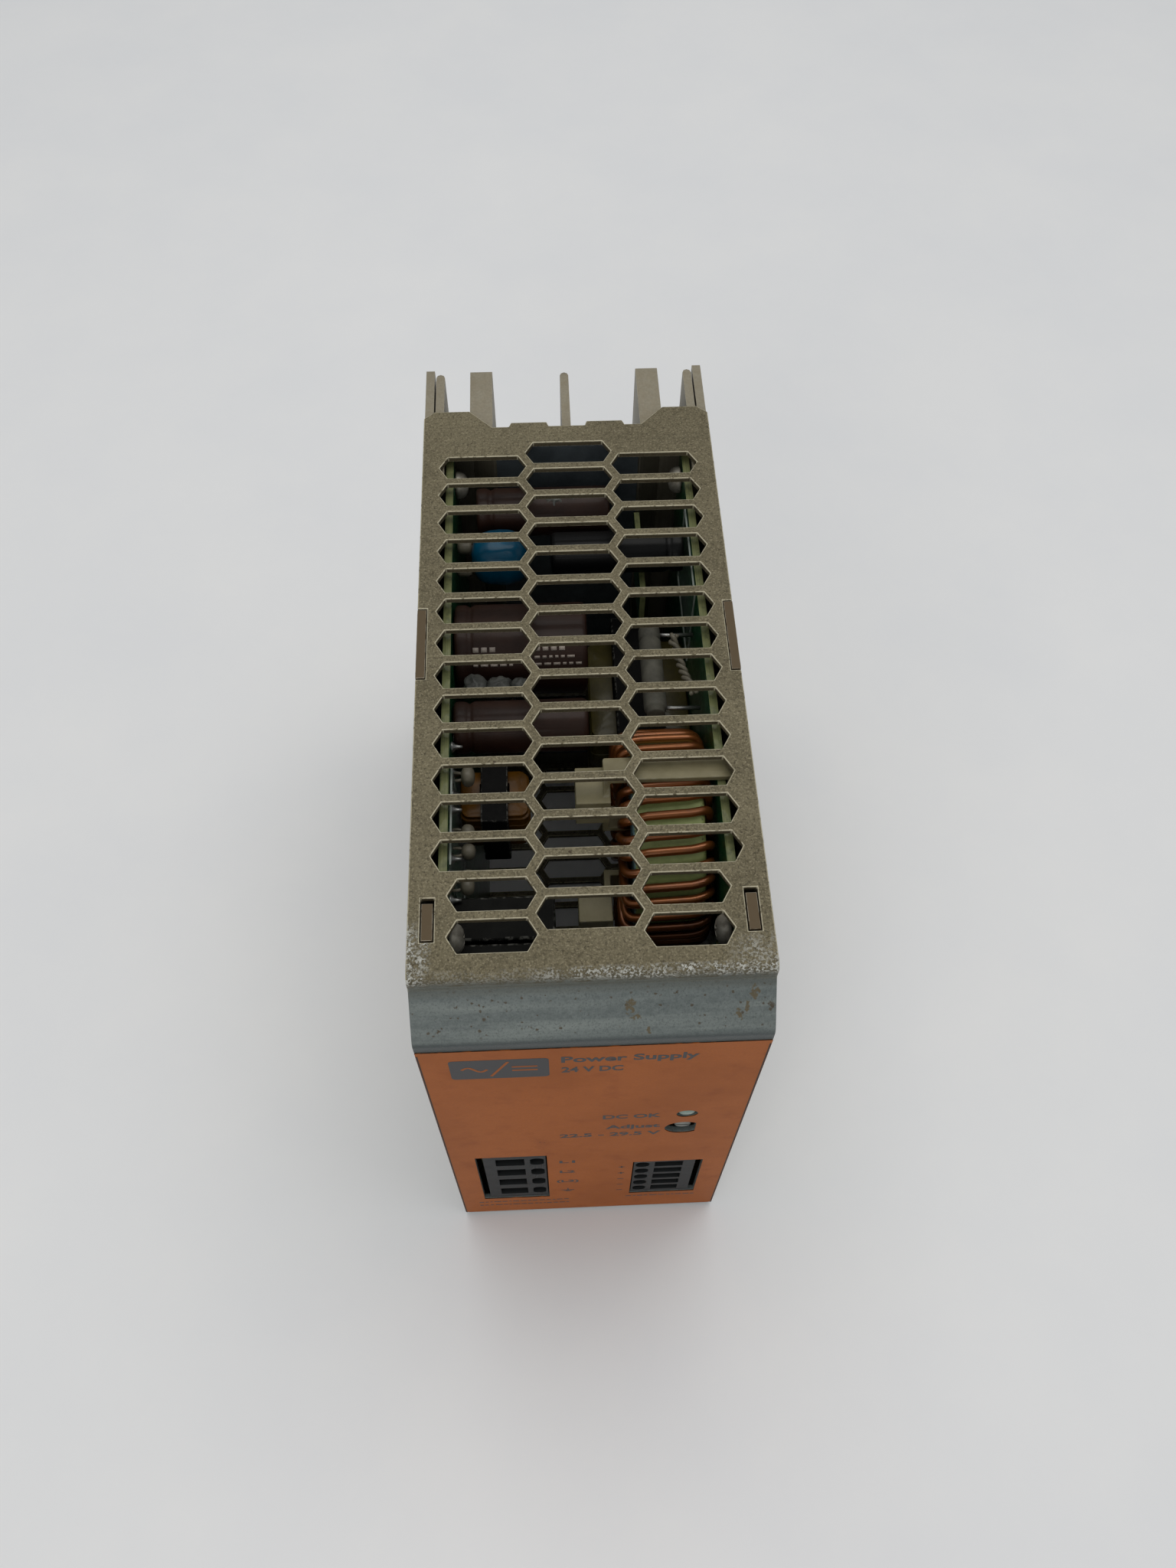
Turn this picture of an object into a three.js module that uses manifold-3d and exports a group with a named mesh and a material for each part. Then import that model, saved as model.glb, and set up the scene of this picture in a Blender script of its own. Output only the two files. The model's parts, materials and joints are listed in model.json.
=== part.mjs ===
// DIN rail power supply: a folded sheet cover over a ribbed aluminium profile, two circuit boards
// with their parts between them, spring-clamp terminals at the front and a rail bracket at the back.
//
// Millimetres. While it is built, x runs across (0 in the middle), y runs back from the face of the
// front label and z runs up from the underside. The group is centred front to back at the end.

import * as THREE from 'three';
import { mergeVertices } from 'three/addons/utils/BufferGeometryUtils.js';
import Module from 'manifold-3d';

const wasm = await Module();
wasm.setup();

// ---------------------------------------------------------------- driving sizes

const WIDTH = 60;
const HEIGHT = 130;
const DEPTH = 150.2;          // front label to the ends of the side walls
const GAP = 0.3;              // between pieces that touch

// folded cover
const SHEET = 1.2;
const LIP_SETBACK = 6.9;      // the short drop below the top, behind the label
const LIP_DROP = 4.0;
const SLOPE_DROP = 7.4;
const EDGE_BEND_R = 1.9;      // outside radius of the sharp bends
const COVER_REAR = 130.9;     // rear edge of the cover between the wide ribs
const EAR_REAR = 135.8;       // rear edge of the cover's two ears
const EAR_CHAMFER = 2.2;
const TONGUE_X = [4.2, 11.7]; // the two small tongues on the rear edge
const TONGUE_OUT = 1.2;

// vents
const VENT_PITCH = 7.5;
const VENT_WEB = 1.65;
const VENT_LONG = 17.7;       // tip to tip
const VENT_OVERLAP = 0.1;     // how far the tips of two columns pass each other
const VENT_FRONT = 14.4;      // centre of the frontmost vent of the side columns
const VENT_REAR_MARGIN = 7.5; // least distance from the rear edge to a vent's centre
const SHORT_VENTS = 2;        // frontmost side vents, shortened beside the corner slots
const SHORTENED_BY = 2.9;

// corner slots and side notches that take the profile's tabs
const SLOT_WIDTH = 2.3;
const SLOT_LENGTH = 7.9;
const SLOT_INSET = 2.1;
const SLOT_FRONT = 13.6;
const NOTCH_FRONT = 66.1;
const NOTCH_LENGTH = 16.5;
const TAB_THICK = 1.83;

// front label and its openings
const LABEL_SHEET = 0.2;
const LABEL_TOP = 14.4;       // below the top of the case
const LABEL_BOTTOM = 1.2;     // above the underside
const LABEL_CORNER = 1.2;
const LED_X = 18.5;
const LED_Z = 75.6;
const LED_HOLE_R = 2.1;
const TRIMMER_X = 18.3;
const TRIMMER_Z = 66.4;
const TRIMMER_HOLE_R = 3.7;
const TRIMMER_FLAT = 2.5;     // from the middle of the hole to its flat side
const ROTOR_R = 2.5;

// aluminium profile
const WALL = 1.85;
const BACK_WALL = 2.9;
const POST = 2.42;            // how far the board posts stand in from the side walls
const POST_WIDTH = 6.6;
const FRONT_POST_Y = 17.2;
const REAR_POST_Y = 121.3;
const WIDE_RIB_X = [15.65, 20.45];
const WIDE_RIB_END = 149.6;
const CENTRE_RIB = 1.85;
const CENTRE_RIB_END = 148.9;
const INNER_RIB = 1.85;
const INNER_RIB_SLIT = 0.35;
const INNER_RIB_END = 149.0;

// circuit boards and their screws
const BOARD = 1.6;
const BOARD_FRONT = 9;
const BOARD_TO_BACK = 1.4;
const BOARD_TOP = 3.0;        // below the top of the case
const BOARD_BOTTOM = 3.0;
const SCREW_HEAD_R = 2.8;
const SCREW_HEAD = 2.4;
const SCREW_R = 1.4;
const SCREW_HOLE_R = 1.7;
const SCREW_LENGTH = 4.3;
const SCREW_DROP = 7.0;       // top screws, below the top of the case

// terminals: both blocks stand this far from their circuit board
const TERMINAL_TO_BOARD = 0.83;
const TERMINAL_WIDTH = 13.4;
const TERMINAL_FRONT = 0.9;
const TERMINAL_DEPTH = 15.6;
const WINDOW_INNER_GAP = 0.3;
const WINDOW_OUTER_GAP = 1.5;
const WINDOW_END_GAP = 0.5;
const ENTRY_FROM_INNER = 0.4;
const ENTRY_WIDTH = 3.0;
const DRIVER_FROM_INNER = 4.6;
const DRIVER_WIDTH = 6.2;
const TERMINAL_FACE = 3.0;
const TERMINAL_SKIN = 0.8;
const CLAMP_STRIP = 0.6;
const INPUT = {
  poles: 4, pitch: 8.2, end: 1.0, lowest: 19.3, openingHeight: 5.0, divider: 1.6, strip: 5.4,
};
const OUTPUT = {
  poles: 5, pitch: 5.08, end: 0.6, lowest: 17.38, openingHeight: 3.6, divider: 1.0, strip: 3.2,
};

// rail bracket and its latch; the rail is 35 mm high and 1 mm thick at its edges
const RAIL_HEIGHT = 35;
const RAIL_EDGE = 1.0;
const RAIL_CENTRE_Z = 65;
const RAIL_SEAT = 0.3;        // how far the pressed seat stands out of the bracket plate
const RAIL_SEAT_X = 7.5;
const BRACKET = 1.7;
const BRACKET_WIDTH = 44;
const BRACKET_LOW = 20;
const BRACKET_TOP = 100;
const HOOK_WIDTH = 9;
const HOOK_X = 13;
const HOOK_THICK = 1.6;
const HOOK_GRIP = 2.2;
const LATCH_WIDTH = 24;
const LATCH_LOW = 6;
const LATCH_TRAVEL = 4.5;
const SPRING_X = 8.5;
const SPRING_R = 2.3;
const SPRING_WIRE = 0.7;
const SPRING_TURNS = 7;
const SPRING_LENGTH = 13.4;
const SPRING_Y_IN = 4.2;      // from the bracket plate forward to the spring's axis

// output choke: a ring standing on edge beside the right board
const CHOKE_R = 21;
const CHOKE_BORE_R = 9.6;
const CHOKE_FRONT = 24;
const CHOKE_BELOW_TOP = 4;
const CHOKE_WIDE = 18.2;
const CHOKE_WIRE = 1.7;
const CHOKE_BULGE = 1.7;      // slack of the turns on the face away from the board
const CHOKE_RIM_SLIT = 6;
const TIE_WIDTH = 4.8;
const TIE = 1.2;
const TIE_HEAD = [6.2, 7.2, 7.6];

// ceramic resistor above the rear of the choke
const RESISTOR = { long: 20.5, r: 2.2, groove: 5.6, fromBoard: 9, behindChokeCentre: 18.6, drop: 10.2 };

const HALF = WIDTH / 2;
const BOARD_OUTER = HALF - WALL - POST - GAP;
const BOARD_INNER = BOARD_OUTER - BOARD;
const ON_BOARD = BOARD_INNER - GAP;
const TERMINAL_OUTER = BOARD_INNER - TERMINAL_TO_BOARD;
const TERMINAL_INNER = TERMINAL_OUTER - TERMINAL_WIDTH;
const BACK_INNER = COVER_REAR - BACK_WALL;
const UNDER_COVER = HEIGHT - SHEET - GAP;
const ABOVE_FLOOR = SHEET + GAP;
const PLATE_FRONT = WIDE_RIB_END + GAP;
const PLATE_BACK = PLATE_FRONT + BRACKET;
const RAIL_FACE = PLATE_BACK + RAIL_SEAT;

// ---------------------------------------------------------------- materials

const finish = (color, roughness, metalness) =>
  new THREE.MeshStandardMaterial({ color, roughness, metalness });

const coverSteel = finish(0x7a7363, 0.6, 0.8);
const aluminium = finish(0x8c8473, 0.45, 0.9);
const orangeFilm = finish(0xb06f48, 0.55, 0);
const boardGreen = finish(0x1d5a3c, 0.5, 0);
const clearSheet = finish(0xc9ccc4, 0.3, 0);
const darkSheet = finish(0x2b3038, 0.45, 0);
const platedSteel = finish(0x9b978c, 0.35, 1);
const greyPlastic = finish(0x3c3e3f, 0.5, 0);
const springSteel = finish(0xa9a79f, 0.3, 1);
const ledGreen = finish(0x82968c, 0.25, 0);
const potPlastic = finish(0x5c6166, 0.5, 0);
const potRotor = finish(0xb8b4a6, 0.5, 0);
const brownSleeve = finish(0x4b2d32, 0.4, 0);
const blackSleeve = finish(0x15161a, 0.35, 0);
const blueEpoxy = finish(0x0a5f8c, 0.35, 0);
const greyBox = finish(0x5a5a58, 0.5, 0);
const ferrite = finish(0x26262a, 0.7, 0);
const amberTape = finish(0x8a6420, 0.4, 0);
const yellowTape = finish(0xa89a3a, 0.4, 0);
const coreGreen = finish(0x8fa366, 0.5, 0);
const copperEnamel = finish(0x96501f, 0.3, 0.7);
const nylon = finish(0xb5ad93, 0.5, 0);
const ceramic = finish(0xb9b7ad, 0.6, 0);
const blackEpoxy = finish(0x17181a, 0.5, 0);

// ---------------------------------------------------------------- building helpers

const supply = new THREE.Group();

function toSolid(geometry) {
  const bare = geometry.clone();
  bare.deleteAttribute('normal');
  bare.deleteAttribute('uv');
  const merged = mergeVertices(bare, 1e-4);
  const corners = [];
  const index = merged.index.array;
  for (let i = 0; i < index.length; i += 3) {
    const [a, b, c] = [index[i], index[i + 1], index[i + 2]];
    if (a !== b && b !== c && c !== a) corners.push(a, b, c);
  }
  const vertProperties = new Float32Array(merged.attributes.position.array);
  return new wasm.Manifold(new wasm.Mesh({ numProp: 3, vertProperties, triVerts: new Uint32Array(corners) }));
}

function toGeometry(solid) {
  const mesh = solid.getMesh();
  const geometry = new THREE.BufferGeometry();
  geometry.setAttribute('position', new THREE.BufferAttribute(new Float32Array(mesh.vertProperties), 3));
  geometry.setIndex([...mesh.triVerts]);
  const flat = geometry.toNonIndexed();
  flat.computeVertexNormals();
  return flat;
}

const join = (...geometries) => toGeometry(geometries.map(toSolid).reduce((a, b) => a.add(b)));
const cut = (geometry, ...tools) =>
  toGeometry(tools.map(toSolid).reduce((left, tool) => left.subtract(tool), toSolid(geometry)));
const overlap = (a, b) => toGeometry(toSolid(a).intersect(toSolid(b)));

function add(name, geometry, material) {
  const mesh = new THREE.Mesh(geometry, material);
  mesh.name = name;
  supply.add(mesh);
  return mesh;
}

function box([x0, x1], [y0, y1], [z0, z1]) {
  const geometry = new THREE.BoxGeometry(Math.abs(x1 - x0), Math.abs(y1 - y0), Math.abs(z1 - z0));
  return geometry.translate((x0 + x1) / 2, (y0 + y1) / 2, (z0 + z1) / 2);
}

function outline(points) {
  return new THREE.Shape(points.map(([a, b]) => new THREE.Vector2(a, b)));
}

// A flat outline pulled along one axis. Its own two directions are x-y, y-z or x-z.
function alongZ(shape, [z0, z1], curveSegments = 12) {
  const geometry = new THREE.ExtrudeGeometry(shape, { depth: z1 - z0, bevelEnabled: false, curveSegments });
  return geometry.translate(0, 0, z0);
}

function alongX(shape, [x0, x1], curveSegments = 12) {
  const geometry = new THREE.ExtrudeGeometry(shape, { depth: x1 - x0, bevelEnabled: false, curveSegments });
  const turn = new THREE.Matrix4().makeBasis(
    new THREE.Vector3(0, 1, 0), new THREE.Vector3(0, 0, 1), new THREE.Vector3(1, 0, 0));
  return geometry.applyMatrix4(turn).translate(x0, 0, 0);
}

function alongY(shape, [y0, y1], curveSegments = 12) {
  const geometry = new THREE.ExtrudeGeometry(shape, { depth: y1 - y0, bevelEnabled: false, curveSegments });
  return geometry.rotateX(Math.PI / 2).translate(0, y1, 0);
}

// A turned piece: the profile lists [radius, distance along the axis]; the axis points along +x, +y or +z.
function turned(profile, axis, segments = 20) {
  const geometry = new THREE.LatheGeometry(profile.map(([r, h]) => new THREE.Vector2(r, h)), segments);
  if (axis === 'x') geometry.rotateZ(-Math.PI / 2);
  if (axis === 'z') geometry.rotateX(Math.PI / 2);
  return geometry;
}

function rod(radius, [from, to], axis, segments = 20) {
  return turned([[0, from], [radius, from], [radius, to], [0, to]], axis, segments);
}

// Corners are [a, b, bend radius]; the result is the polyline with each corner rounded.
function bent(corners, steps = 5) {
  const points = [];
  corners.forEach(([a, b, radius = 0], i) => {
    const here = new THREE.Vector2(a, b);
    if (!radius || i === 0 || i === corners.length - 1) {
      points.push(here);
      return;
    }
    const back = new THREE.Vector2(...corners[i - 1].slice(0, 2)).sub(here).normalize();
    const ahead = new THREE.Vector2(...corners[i + 1].slice(0, 2)).sub(here).normalize();
    const half = Math.acos(back.dot(ahead)) / 2;
    const centre = back.clone().add(ahead).normalize().multiplyScalar(radius / Math.sin(half)).add(here);
    const start = back.clone().multiplyScalar(radius / Math.tan(half)).add(here).sub(centre);
    const end = ahead.clone().multiplyScalar(radius / Math.tan(half)).add(here).sub(centre);
    const sweep = Math.atan2(start.cross(end), start.dot(end));
    for (let k = 0; k <= steps; k++) {
      points.push(start.clone().rotateAround(new THREE.Vector2(), (sweep * k) / steps).add(centre));
    }
  });
  return points;
}

// The same polyline moved sideways, to the left of its direction of travel.
function beside(points, distance) {
  return points.map((point, i) => {
    const before = points[Math.max(i - 1, 0)];
    const after = points[Math.min(i + 1, points.length - 1)];
    const inward = i > 0 ? point.clone().sub(before).normalize() : after.clone().sub(point).normalize();
    const outward = i < points.length - 1 ? after.clone().sub(point).normalize() : inward.clone();
    const along = inward.clone().add(outward).normalize();
    const stretch = 1 / Math.max(along.dot(inward), 0.5);
    return new THREE.Vector2(-along.y, along.x).multiplyScalar(distance * stretch).add(point);
  });
}

function strip(points, thickness) {
  return new THREE.Shape([...points, ...beside(points, thickness).reverse()]);
}

const mirrored = (points) => points.map(([x, y]) => [-x, y]).reverse();

// ---------------------------------------------------------------- front openings

function windowFrame({ poles, pitch, end, lowest }) {
  const bottom = lowest - pitch / 2 - end;
  return { bottom, top: bottom + poles * pitch + 2 * end };
}

function terminalWindow(side, terminal) {
  const { top, bottom } = windowFrame(terminal);
  const inner = side * (TERMINAL_INNER - WINDOW_INNER_GAP);
  const outer = side * (TERMINAL_OUTER + WINDOW_OUTER_GAP);
  const [left, right] = [Math.min(inner, outer), Math.max(inner, outer)];
  const [low, high] = [bottom - WINDOW_END_GAP, top + WINDOW_END_GAP];
  return outline([[left, low], [right, low], [right, high], [left, high]]);
}

function ledHole() {
  const shape = new THREE.Shape();
  shape.absarc(LED_X, LED_Z, LED_HOLE_R, 0, 2 * Math.PI);
  return shape;
}

function trimmerHole() {
  const flat = Math.acos(TRIMMER_FLAT / TRIMMER_HOLE_R);
  const shape = new THREE.Shape();
  shape.absarc(TRIMMER_X, TRIMMER_Z, TRIMMER_HOLE_R, flat, 2 * Math.PI - flat);
  return shape;
}

const frontOpenings = [terminalWindow(-1, INPUT), terminalWindow(1, OUTPUT), ledHole(), trimmerHole()];

// ---------------------------------------------------------------- cover and label

function ventOutline(x, y, long, shift = 0) {
  const rise = (VENT_PITCH - VENT_WEB) / 2;
  const run = rise / Math.sqrt(3);
  const [left, right] = [x - long / 2 + shift, x + long / 2 + shift];
  return outline([
    [left, y], [left + run, y - rise], [right - run, y - rise],
    [right, y], [right - run, y + rise], [left + run, y + rise],
  ]);
}

function ventOutlines() {
  const vents = [];
  const last = COVER_REAR - VENT_REAR_MARGIN;
  const columnStep = VENT_LONG - VENT_OVERLAP;
  for (let y = VENT_FRONT, row = 0; y + VENT_PITCH / 2 <= last; y += VENT_PITCH, row++) {
    const cutBack = row < SHORT_VENTS ? SHORTENED_BY : 0;
    vents.push(ventOutline(-columnStep, y, VENT_LONG - cutBack, cutBack / 2));
    vents.push(ventOutline(columnStep, y, VENT_LONG - cutBack, -cutBack / 2));
    vents.push(ventOutline(0, y + VENT_PITCH / 2, VENT_LONG));
  }
  return vents;
}

function coverPlan() {
  const notch = HALF - WALL;
  const halfRear = [
    [TONGUE_X[0] - 0.4, COVER_REAR], [TONGUE_X[0], COVER_REAR + TONGUE_OUT],
    [TONGUE_X[1], COVER_REAR + TONGUE_OUT], [TONGUE_X[1] + 0.5, COVER_REAR],
    [WIDE_RIB_X[0], COVER_REAR], [WIDE_RIB_X[1], EAR_REAR],
    [HALF - EAR_CHAMFER, EAR_REAR], [HALF, EAR_REAR - EAR_CHAMFER * 0.85],
    [HALF, NOTCH_FRONT + NOTCH_LENGTH], [notch, NOTCH_FRONT + NOTCH_LENGTH],
    [notch, NOTCH_FRONT], [HALF, NOTCH_FRONT], [HALF, -1],
  ];
  const plan = outline([...mirrored(halfRear), ...halfRear]);
  const slotOuter = HALF - SLOT_INSET;
  for (const side of [-1, 1]) {
    const xs = [side * slotOuter, side * (slotOuter - SLOT_WIDTH)].sort((a, b) => a - b);
    plan.holes.push(outline([
      [xs[0], SLOT_FRONT], [xs[1], SLOT_FRONT],
      [xs[1], SLOT_FRONT + SLOT_LENGTH], [xs[0], SLOT_FRONT + SLOT_LENGTH],
    ]));
  }
  plan.holes.push(...ventOutlines());
  return plan;
}

// The bend line of the cover's outside, from the rear edge over the front to the rear edge below.
const coverLine = bent([
  [EAR_REAR + 1, HEIGHT],
  [LIP_SETBACK, HEIGHT, EDGE_BEND_R],
  [LIP_SETBACK, HEIGHT - LIP_DROP, 1.6],
  [LABEL_SHEET, HEIGHT - LIP_DROP - SLOPE_DROP, 3],
  [LABEL_SHEET, 0, EDGE_BEND_R],
  [EAR_REAR + 1, 0],
]);

function frontCover() {
  const folded = alongX(strip(coverLine, SHEET), [-HALF, HALF]);
  const trimmed = overlap(folded, alongZ(coverPlan(), [-1, HEIGHT + 1]));
  return cut(trimmed, alongY(frontOpenings, [-1, SHEET * 3], 10));
}
add('front_cover', frontCover(), coverSteel);

function frontLabel() {
  const [w, low, high] = [HALF - 0.1, LABEL_BOTTOM, HEIGHT - LABEL_TOP];
  const corner = LABEL_CORNER;
  const shape = new THREE.Shape();
  shape.moveTo(-w, high);
  shape.lineTo(-w, low + corner);
  shape.absarc(-w + corner, low + corner, corner, Math.PI, 1.5 * Math.PI);
  shape.lineTo(w - corner, low);
  shape.absarc(w - corner, low + corner, corner, -0.5 * Math.PI, 0);
  shape.lineTo(w, high);
  shape.holes.push(...frontOpenings);
  return alongY(shape, [0, LABEL_SHEET - 0.02], 10);
}
add('front_label', frontLabel(), orangeFilm);

// ---------------------------------------------------------------- aluminium profile

function profilePlan() {
  const wall = HALF - WALL;
  const post = wall - POST;
  const earWall = EAR_REAR - 0.2;
  const earInner = earWall - BACK_WALL;
  const ribOuter = wall - INNER_RIB_SLIT;
  const ribInner = ribOuter - INNER_RIB;
  const tip = INNER_RIB / 2;
  const postEnds = (y) => [y - POST_WIDTH / 2, y + POST_WIDTH / 2];
  const [postA, postB] = [postEnds(FRONT_POST_Y), postEnds(REAR_POST_Y)];
  const roundTip = (centre, end) => [0, 1, 2, 3, 4].map((k) => {
    const angle = (Math.PI * k) / 4;
    return [centre - tip * Math.cos(angle), end - tip + tip * Math.sin(angle)];
  });
  const centreTip = roundTip(0, CENTRE_RIB_END).slice(2);
  const half = [
    ...centreTip,
    [CENTRE_RIB / 2, COVER_REAR - 0.2],
    [WIDE_RIB_X[0], COVER_REAR - 0.2],
    [WIDE_RIB_X[0], WIDE_RIB_END], [WIDE_RIB_X[1], WIDE_RIB_END], [WIDE_RIB_X[1], earWall],
    [ribInner, earWall],
    ...roundTip((ribInner + ribOuter) / 2, INNER_RIB_END),
    [ribOuter, earWall], [wall, earWall],
    [wall, DEPTH], [HALF, DEPTH],
    [HALF, LABEL_SHEET], [wall, LABEL_SHEET],
    [wall, postA[0]], [post, postA[0]], [post, postA[1]], [wall, postA[1]],
    [wall, postB[0]], [post, postB[0]], [post, postB[1]], [wall, postB[1]],
    [wall, earInner], [WIDE_RIB_X[1], earInner], [WIDE_RIB_X[0], BACK_INNER],
  ];
  return outline([...half, ...mirrored(half).slice(0, -1)]);
}

// What is left inside the folded cover, with a gap all round, and open at the back.
function insideCover() {
  const inner = beside(coverLine, SHEET + GAP);
  const back = [new THREE.Vector2(DEPTH + 1, ABOVE_FLOOR), new THREE.Vector2(DEPTH + 1, UNDER_COVER)];
  return alongX(new THREE.Shape([...inner, ...back]), [-HALF - 1, HALF + 1]);
}

const boardScrewPlaces = [];
for (const side of [-1, 1]) {
  for (const z of [HEIGHT - SCREW_DROP, SCREW_DROP]) {
    for (const y of [FRONT_POST_Y, REAR_POST_Y]) boardScrewPlaces.push({ side, y, z });
  }
}

const bracketScrewPlaces = [];
const bracketScrewX = (WIDE_RIB_X[0] + WIDE_RIB_X[1]) / 2;
for (const x of [-bracketScrewX, bracketScrewX]) {
  for (const z of [BRACKET_LOW + 10, BRACKET_TOP - 10]) bracketScrewPlaces.push({ x, z });
}

function chassisProfile() {
  let body = overlap(alongZ(profilePlan(), [0, HEIGHT]), insideCover());
  const tabOuter = HALF - SLOT_INSET - (SLOT_WIDTH - TAB_THICK) / 2;
  const tabs = [];
  for (const side of [-1, 1]) {
    const wallTab = [side * HALF, side * (HALF - WALL + GAP / 2)];
    tabs.push(box(wallTab, [NOTCH_FRONT + GAP, NOTCH_FRONT + NOTCH_LENGTH - GAP], [0, HEIGHT]));
    const postTab = [side * tabOuter, side * (tabOuter - TAB_THICK)];
    const postY = [SLOT_FRONT + GAP, SLOT_FRONT + SLOT_LENGTH - 1];
    tabs.push(box(postTab, postY, [0, HEIGHT]));
  }
  const threads = boardScrewPlaces.map(({ side, y, z }) =>
    rod(SCREW_HOLE_R, [side * (BOARD_OUTER - 1), side * (HALF - 0.7)].sort((a, b) => a - b), 'x', 12)
      .translate(0, y, z));
  const bracketThreads = bracketScrewPlaces.map(({ x, z }) =>
    rod(SCREW_HOLE_R, [WIDE_RIB_END - 8, WIDE_RIB_END + 1], 'y', 12).translate(x, 0, z));
  body = join(body, ...tabs);
  return cut(body, ...threads, ...bracketThreads);
}
add('chassis_profile', chassisProfile(), aluminium);

// ---------------------------------------------------------------- boards and insulating sheets

const chokeCentre = { y: CHOKE_FRONT + CHOKE_R, z: HEIGHT - CHOKE_BELOW_TOP - CHOKE_R };
const resistorFront = chokeCentre.y + RESISTOR.behindChokeCentre;
// The ties' inner run is flat, so it clears the round bore at the strap's edges.
const tieRun = {
  outside: CHOKE_R + GAP,
  inside: Math.sqrt(CHOKE_BORE_R ** 2 - (TIE_WIDTH / 2) ** 2) - 1.5 * GAP,
};
const boardSpan = {
  y: [BOARD_FRONT, BACK_INNER - BOARD_TO_BACK],
  z: [BOARD_BOTTOM, HEIGHT - BOARD_TOP],
};

// Slots in the right board that the two cable ties of the choke pass through.
function tieSlots() {
  const wide = TIE_WIDTH / 2 + GAP;
  const across = [BOARD_INNER - 1, BOARD_OUTER + 1];
  const { y, z } = chokeCentre;
  const { outside, inside } = tieRun;
  return [
    box(across, [y - wide, y + wide], [z + outside - GAP, HEIGHT]),
    box(across, [y - wide, y + wide], [z + inside - TIE - GAP, z + inside + GAP]),
    box(across, [y - outside - TIE - GAP, y - outside + GAP], [z - wide, z + wide]),
    box(across, [y - inside - GAP, y - inside + TIE + GAP], [z - wide, z + wide]),
  ];
}

function circuitBoard(side) {
  const plate = box([side * BOARD_INNER, side * BOARD_OUTER], boardSpan.y, boardSpan.z);
  const across = [side * (BOARD_INNER - 1), side * (BOARD_OUTER + 1)].sort((a, b) => a - b);
  const holes = boardScrewPlaces
    .filter((place) => place.side === side)
    .map(({ y, z }) => rod(SCREW_HOLE_R, across, 'x', 12).translate(0, y, z));
  return cut(plate, ...holes, ...(side > 0 ? tieSlots() : []));
}
add('left_circuit_board', circuitBoard(-1), boardGreen);
add('right_circuit_board', circuitBoard(1), boardGreen);

const FILM = 0.4;
function boardSheet(side, depthRange, height) {
  const top = HEIGHT - BOARD_TOP + FILM;
  return box([side * ON_BOARD, side * (ON_BOARD - FILM)], depthRange, [top - height, top]);
}
add('left_insulating_sheet', boardSheet(-1, [29, 49], 32), clearSheet);
const behindResistor = resistorFront + RESISTOR.long + 1.9;
add('right_insulating_sheet', boardSheet(1, [behindResistor, 109], 21), clearSheet);

const rearSheet = {
  x: [-WIDE_RIB_X[0] + 0.5, WIDE_RIB_X[0] - 0.5],
  y: [BACK_INNER - GAP - FILM, BACK_INNER - GAP],
  z: [8, HEIGHT - 2.4],
};
add('rear_insulating_sheet', box(rearSheet.x, rearSheet.y, rearSheet.z), darkSheet);

// ---------------------------------------------------------------- screws

function panScrew(side) {
  const [r, h] = [SCREW_HEAD_R, SCREW_HEAD];
  const profile = [
    [0, -h], [r * 0.55, -h * 0.93], [r * 0.9, -h * 0.62], [r, -h * 0.2], [r, 0],
    [SCREW_R, 0], [SCREW_R, SCREW_LENGTH], [0, SCREW_LENGTH],
  ];
  const body = turned(profile, 'x', 16);
  return side > 0 ? body : body.rotateZ(Math.PI);
}

boardScrewPlaces.forEach(({ side, y, z }, i) => {
  const screw = add(`board_screw_${i + 1}`, panScrew(side), platedSteel);
  screw.position.set(side * (BOARD_INNER - GAP), y, z);
});

const SINK_SCREW = { long: 9.6, head: 1.4, belowFace: 0.1 };
function countersunkScrew() {
  const { long, head } = SINK_SCREW;
  const profile = [[0, 0], [SCREW_R, 0], [SCREW_R, long - head], [SCREW_HEAD_R, long], [0, long]];
  return turned(profile, 'y', 16);
}

bracketScrewPlaces.forEach(({ x, z }, i) => {
  const screw = add(`bracket_screw_${i + 1}`, countersunkScrew(), platedSteel);
  screw.position.set(x, PLATE_BACK - SINK_SCREW.long - SINK_SCREW.belowFace, z);
});

// ---------------------------------------------------------------- terminals

function rounded([a0, a1], [b0, b1], radius) {
  const shape = new THREE.Shape();
  shape.moveTo(a0 + radius, b0);
  shape.absarc(a1 - radius, b0 + radius, radius, -Math.PI / 2, 0);
  shape.absarc(a1 - radius, b1 - radius, radius, 0, Math.PI / 2);
  shape.absarc(a0 + radius, b1 - radius, radius, Math.PI / 2, Math.PI);
  shape.absarc(a0 + radius, b0 + radius, radius, Math.PI, 1.5 * Math.PI);
  return shape;
}

const ordered = (side, near, far) => [side * near, side * far].sort((a, b) => a - b);
// Heights of the poles, the highest first.
const poleHeights = ({ poles, pitch, lowest }) =>
  Array.from({ length: poles }, (_, i) => lowest + (poles - 1 - i) * pitch);

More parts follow.
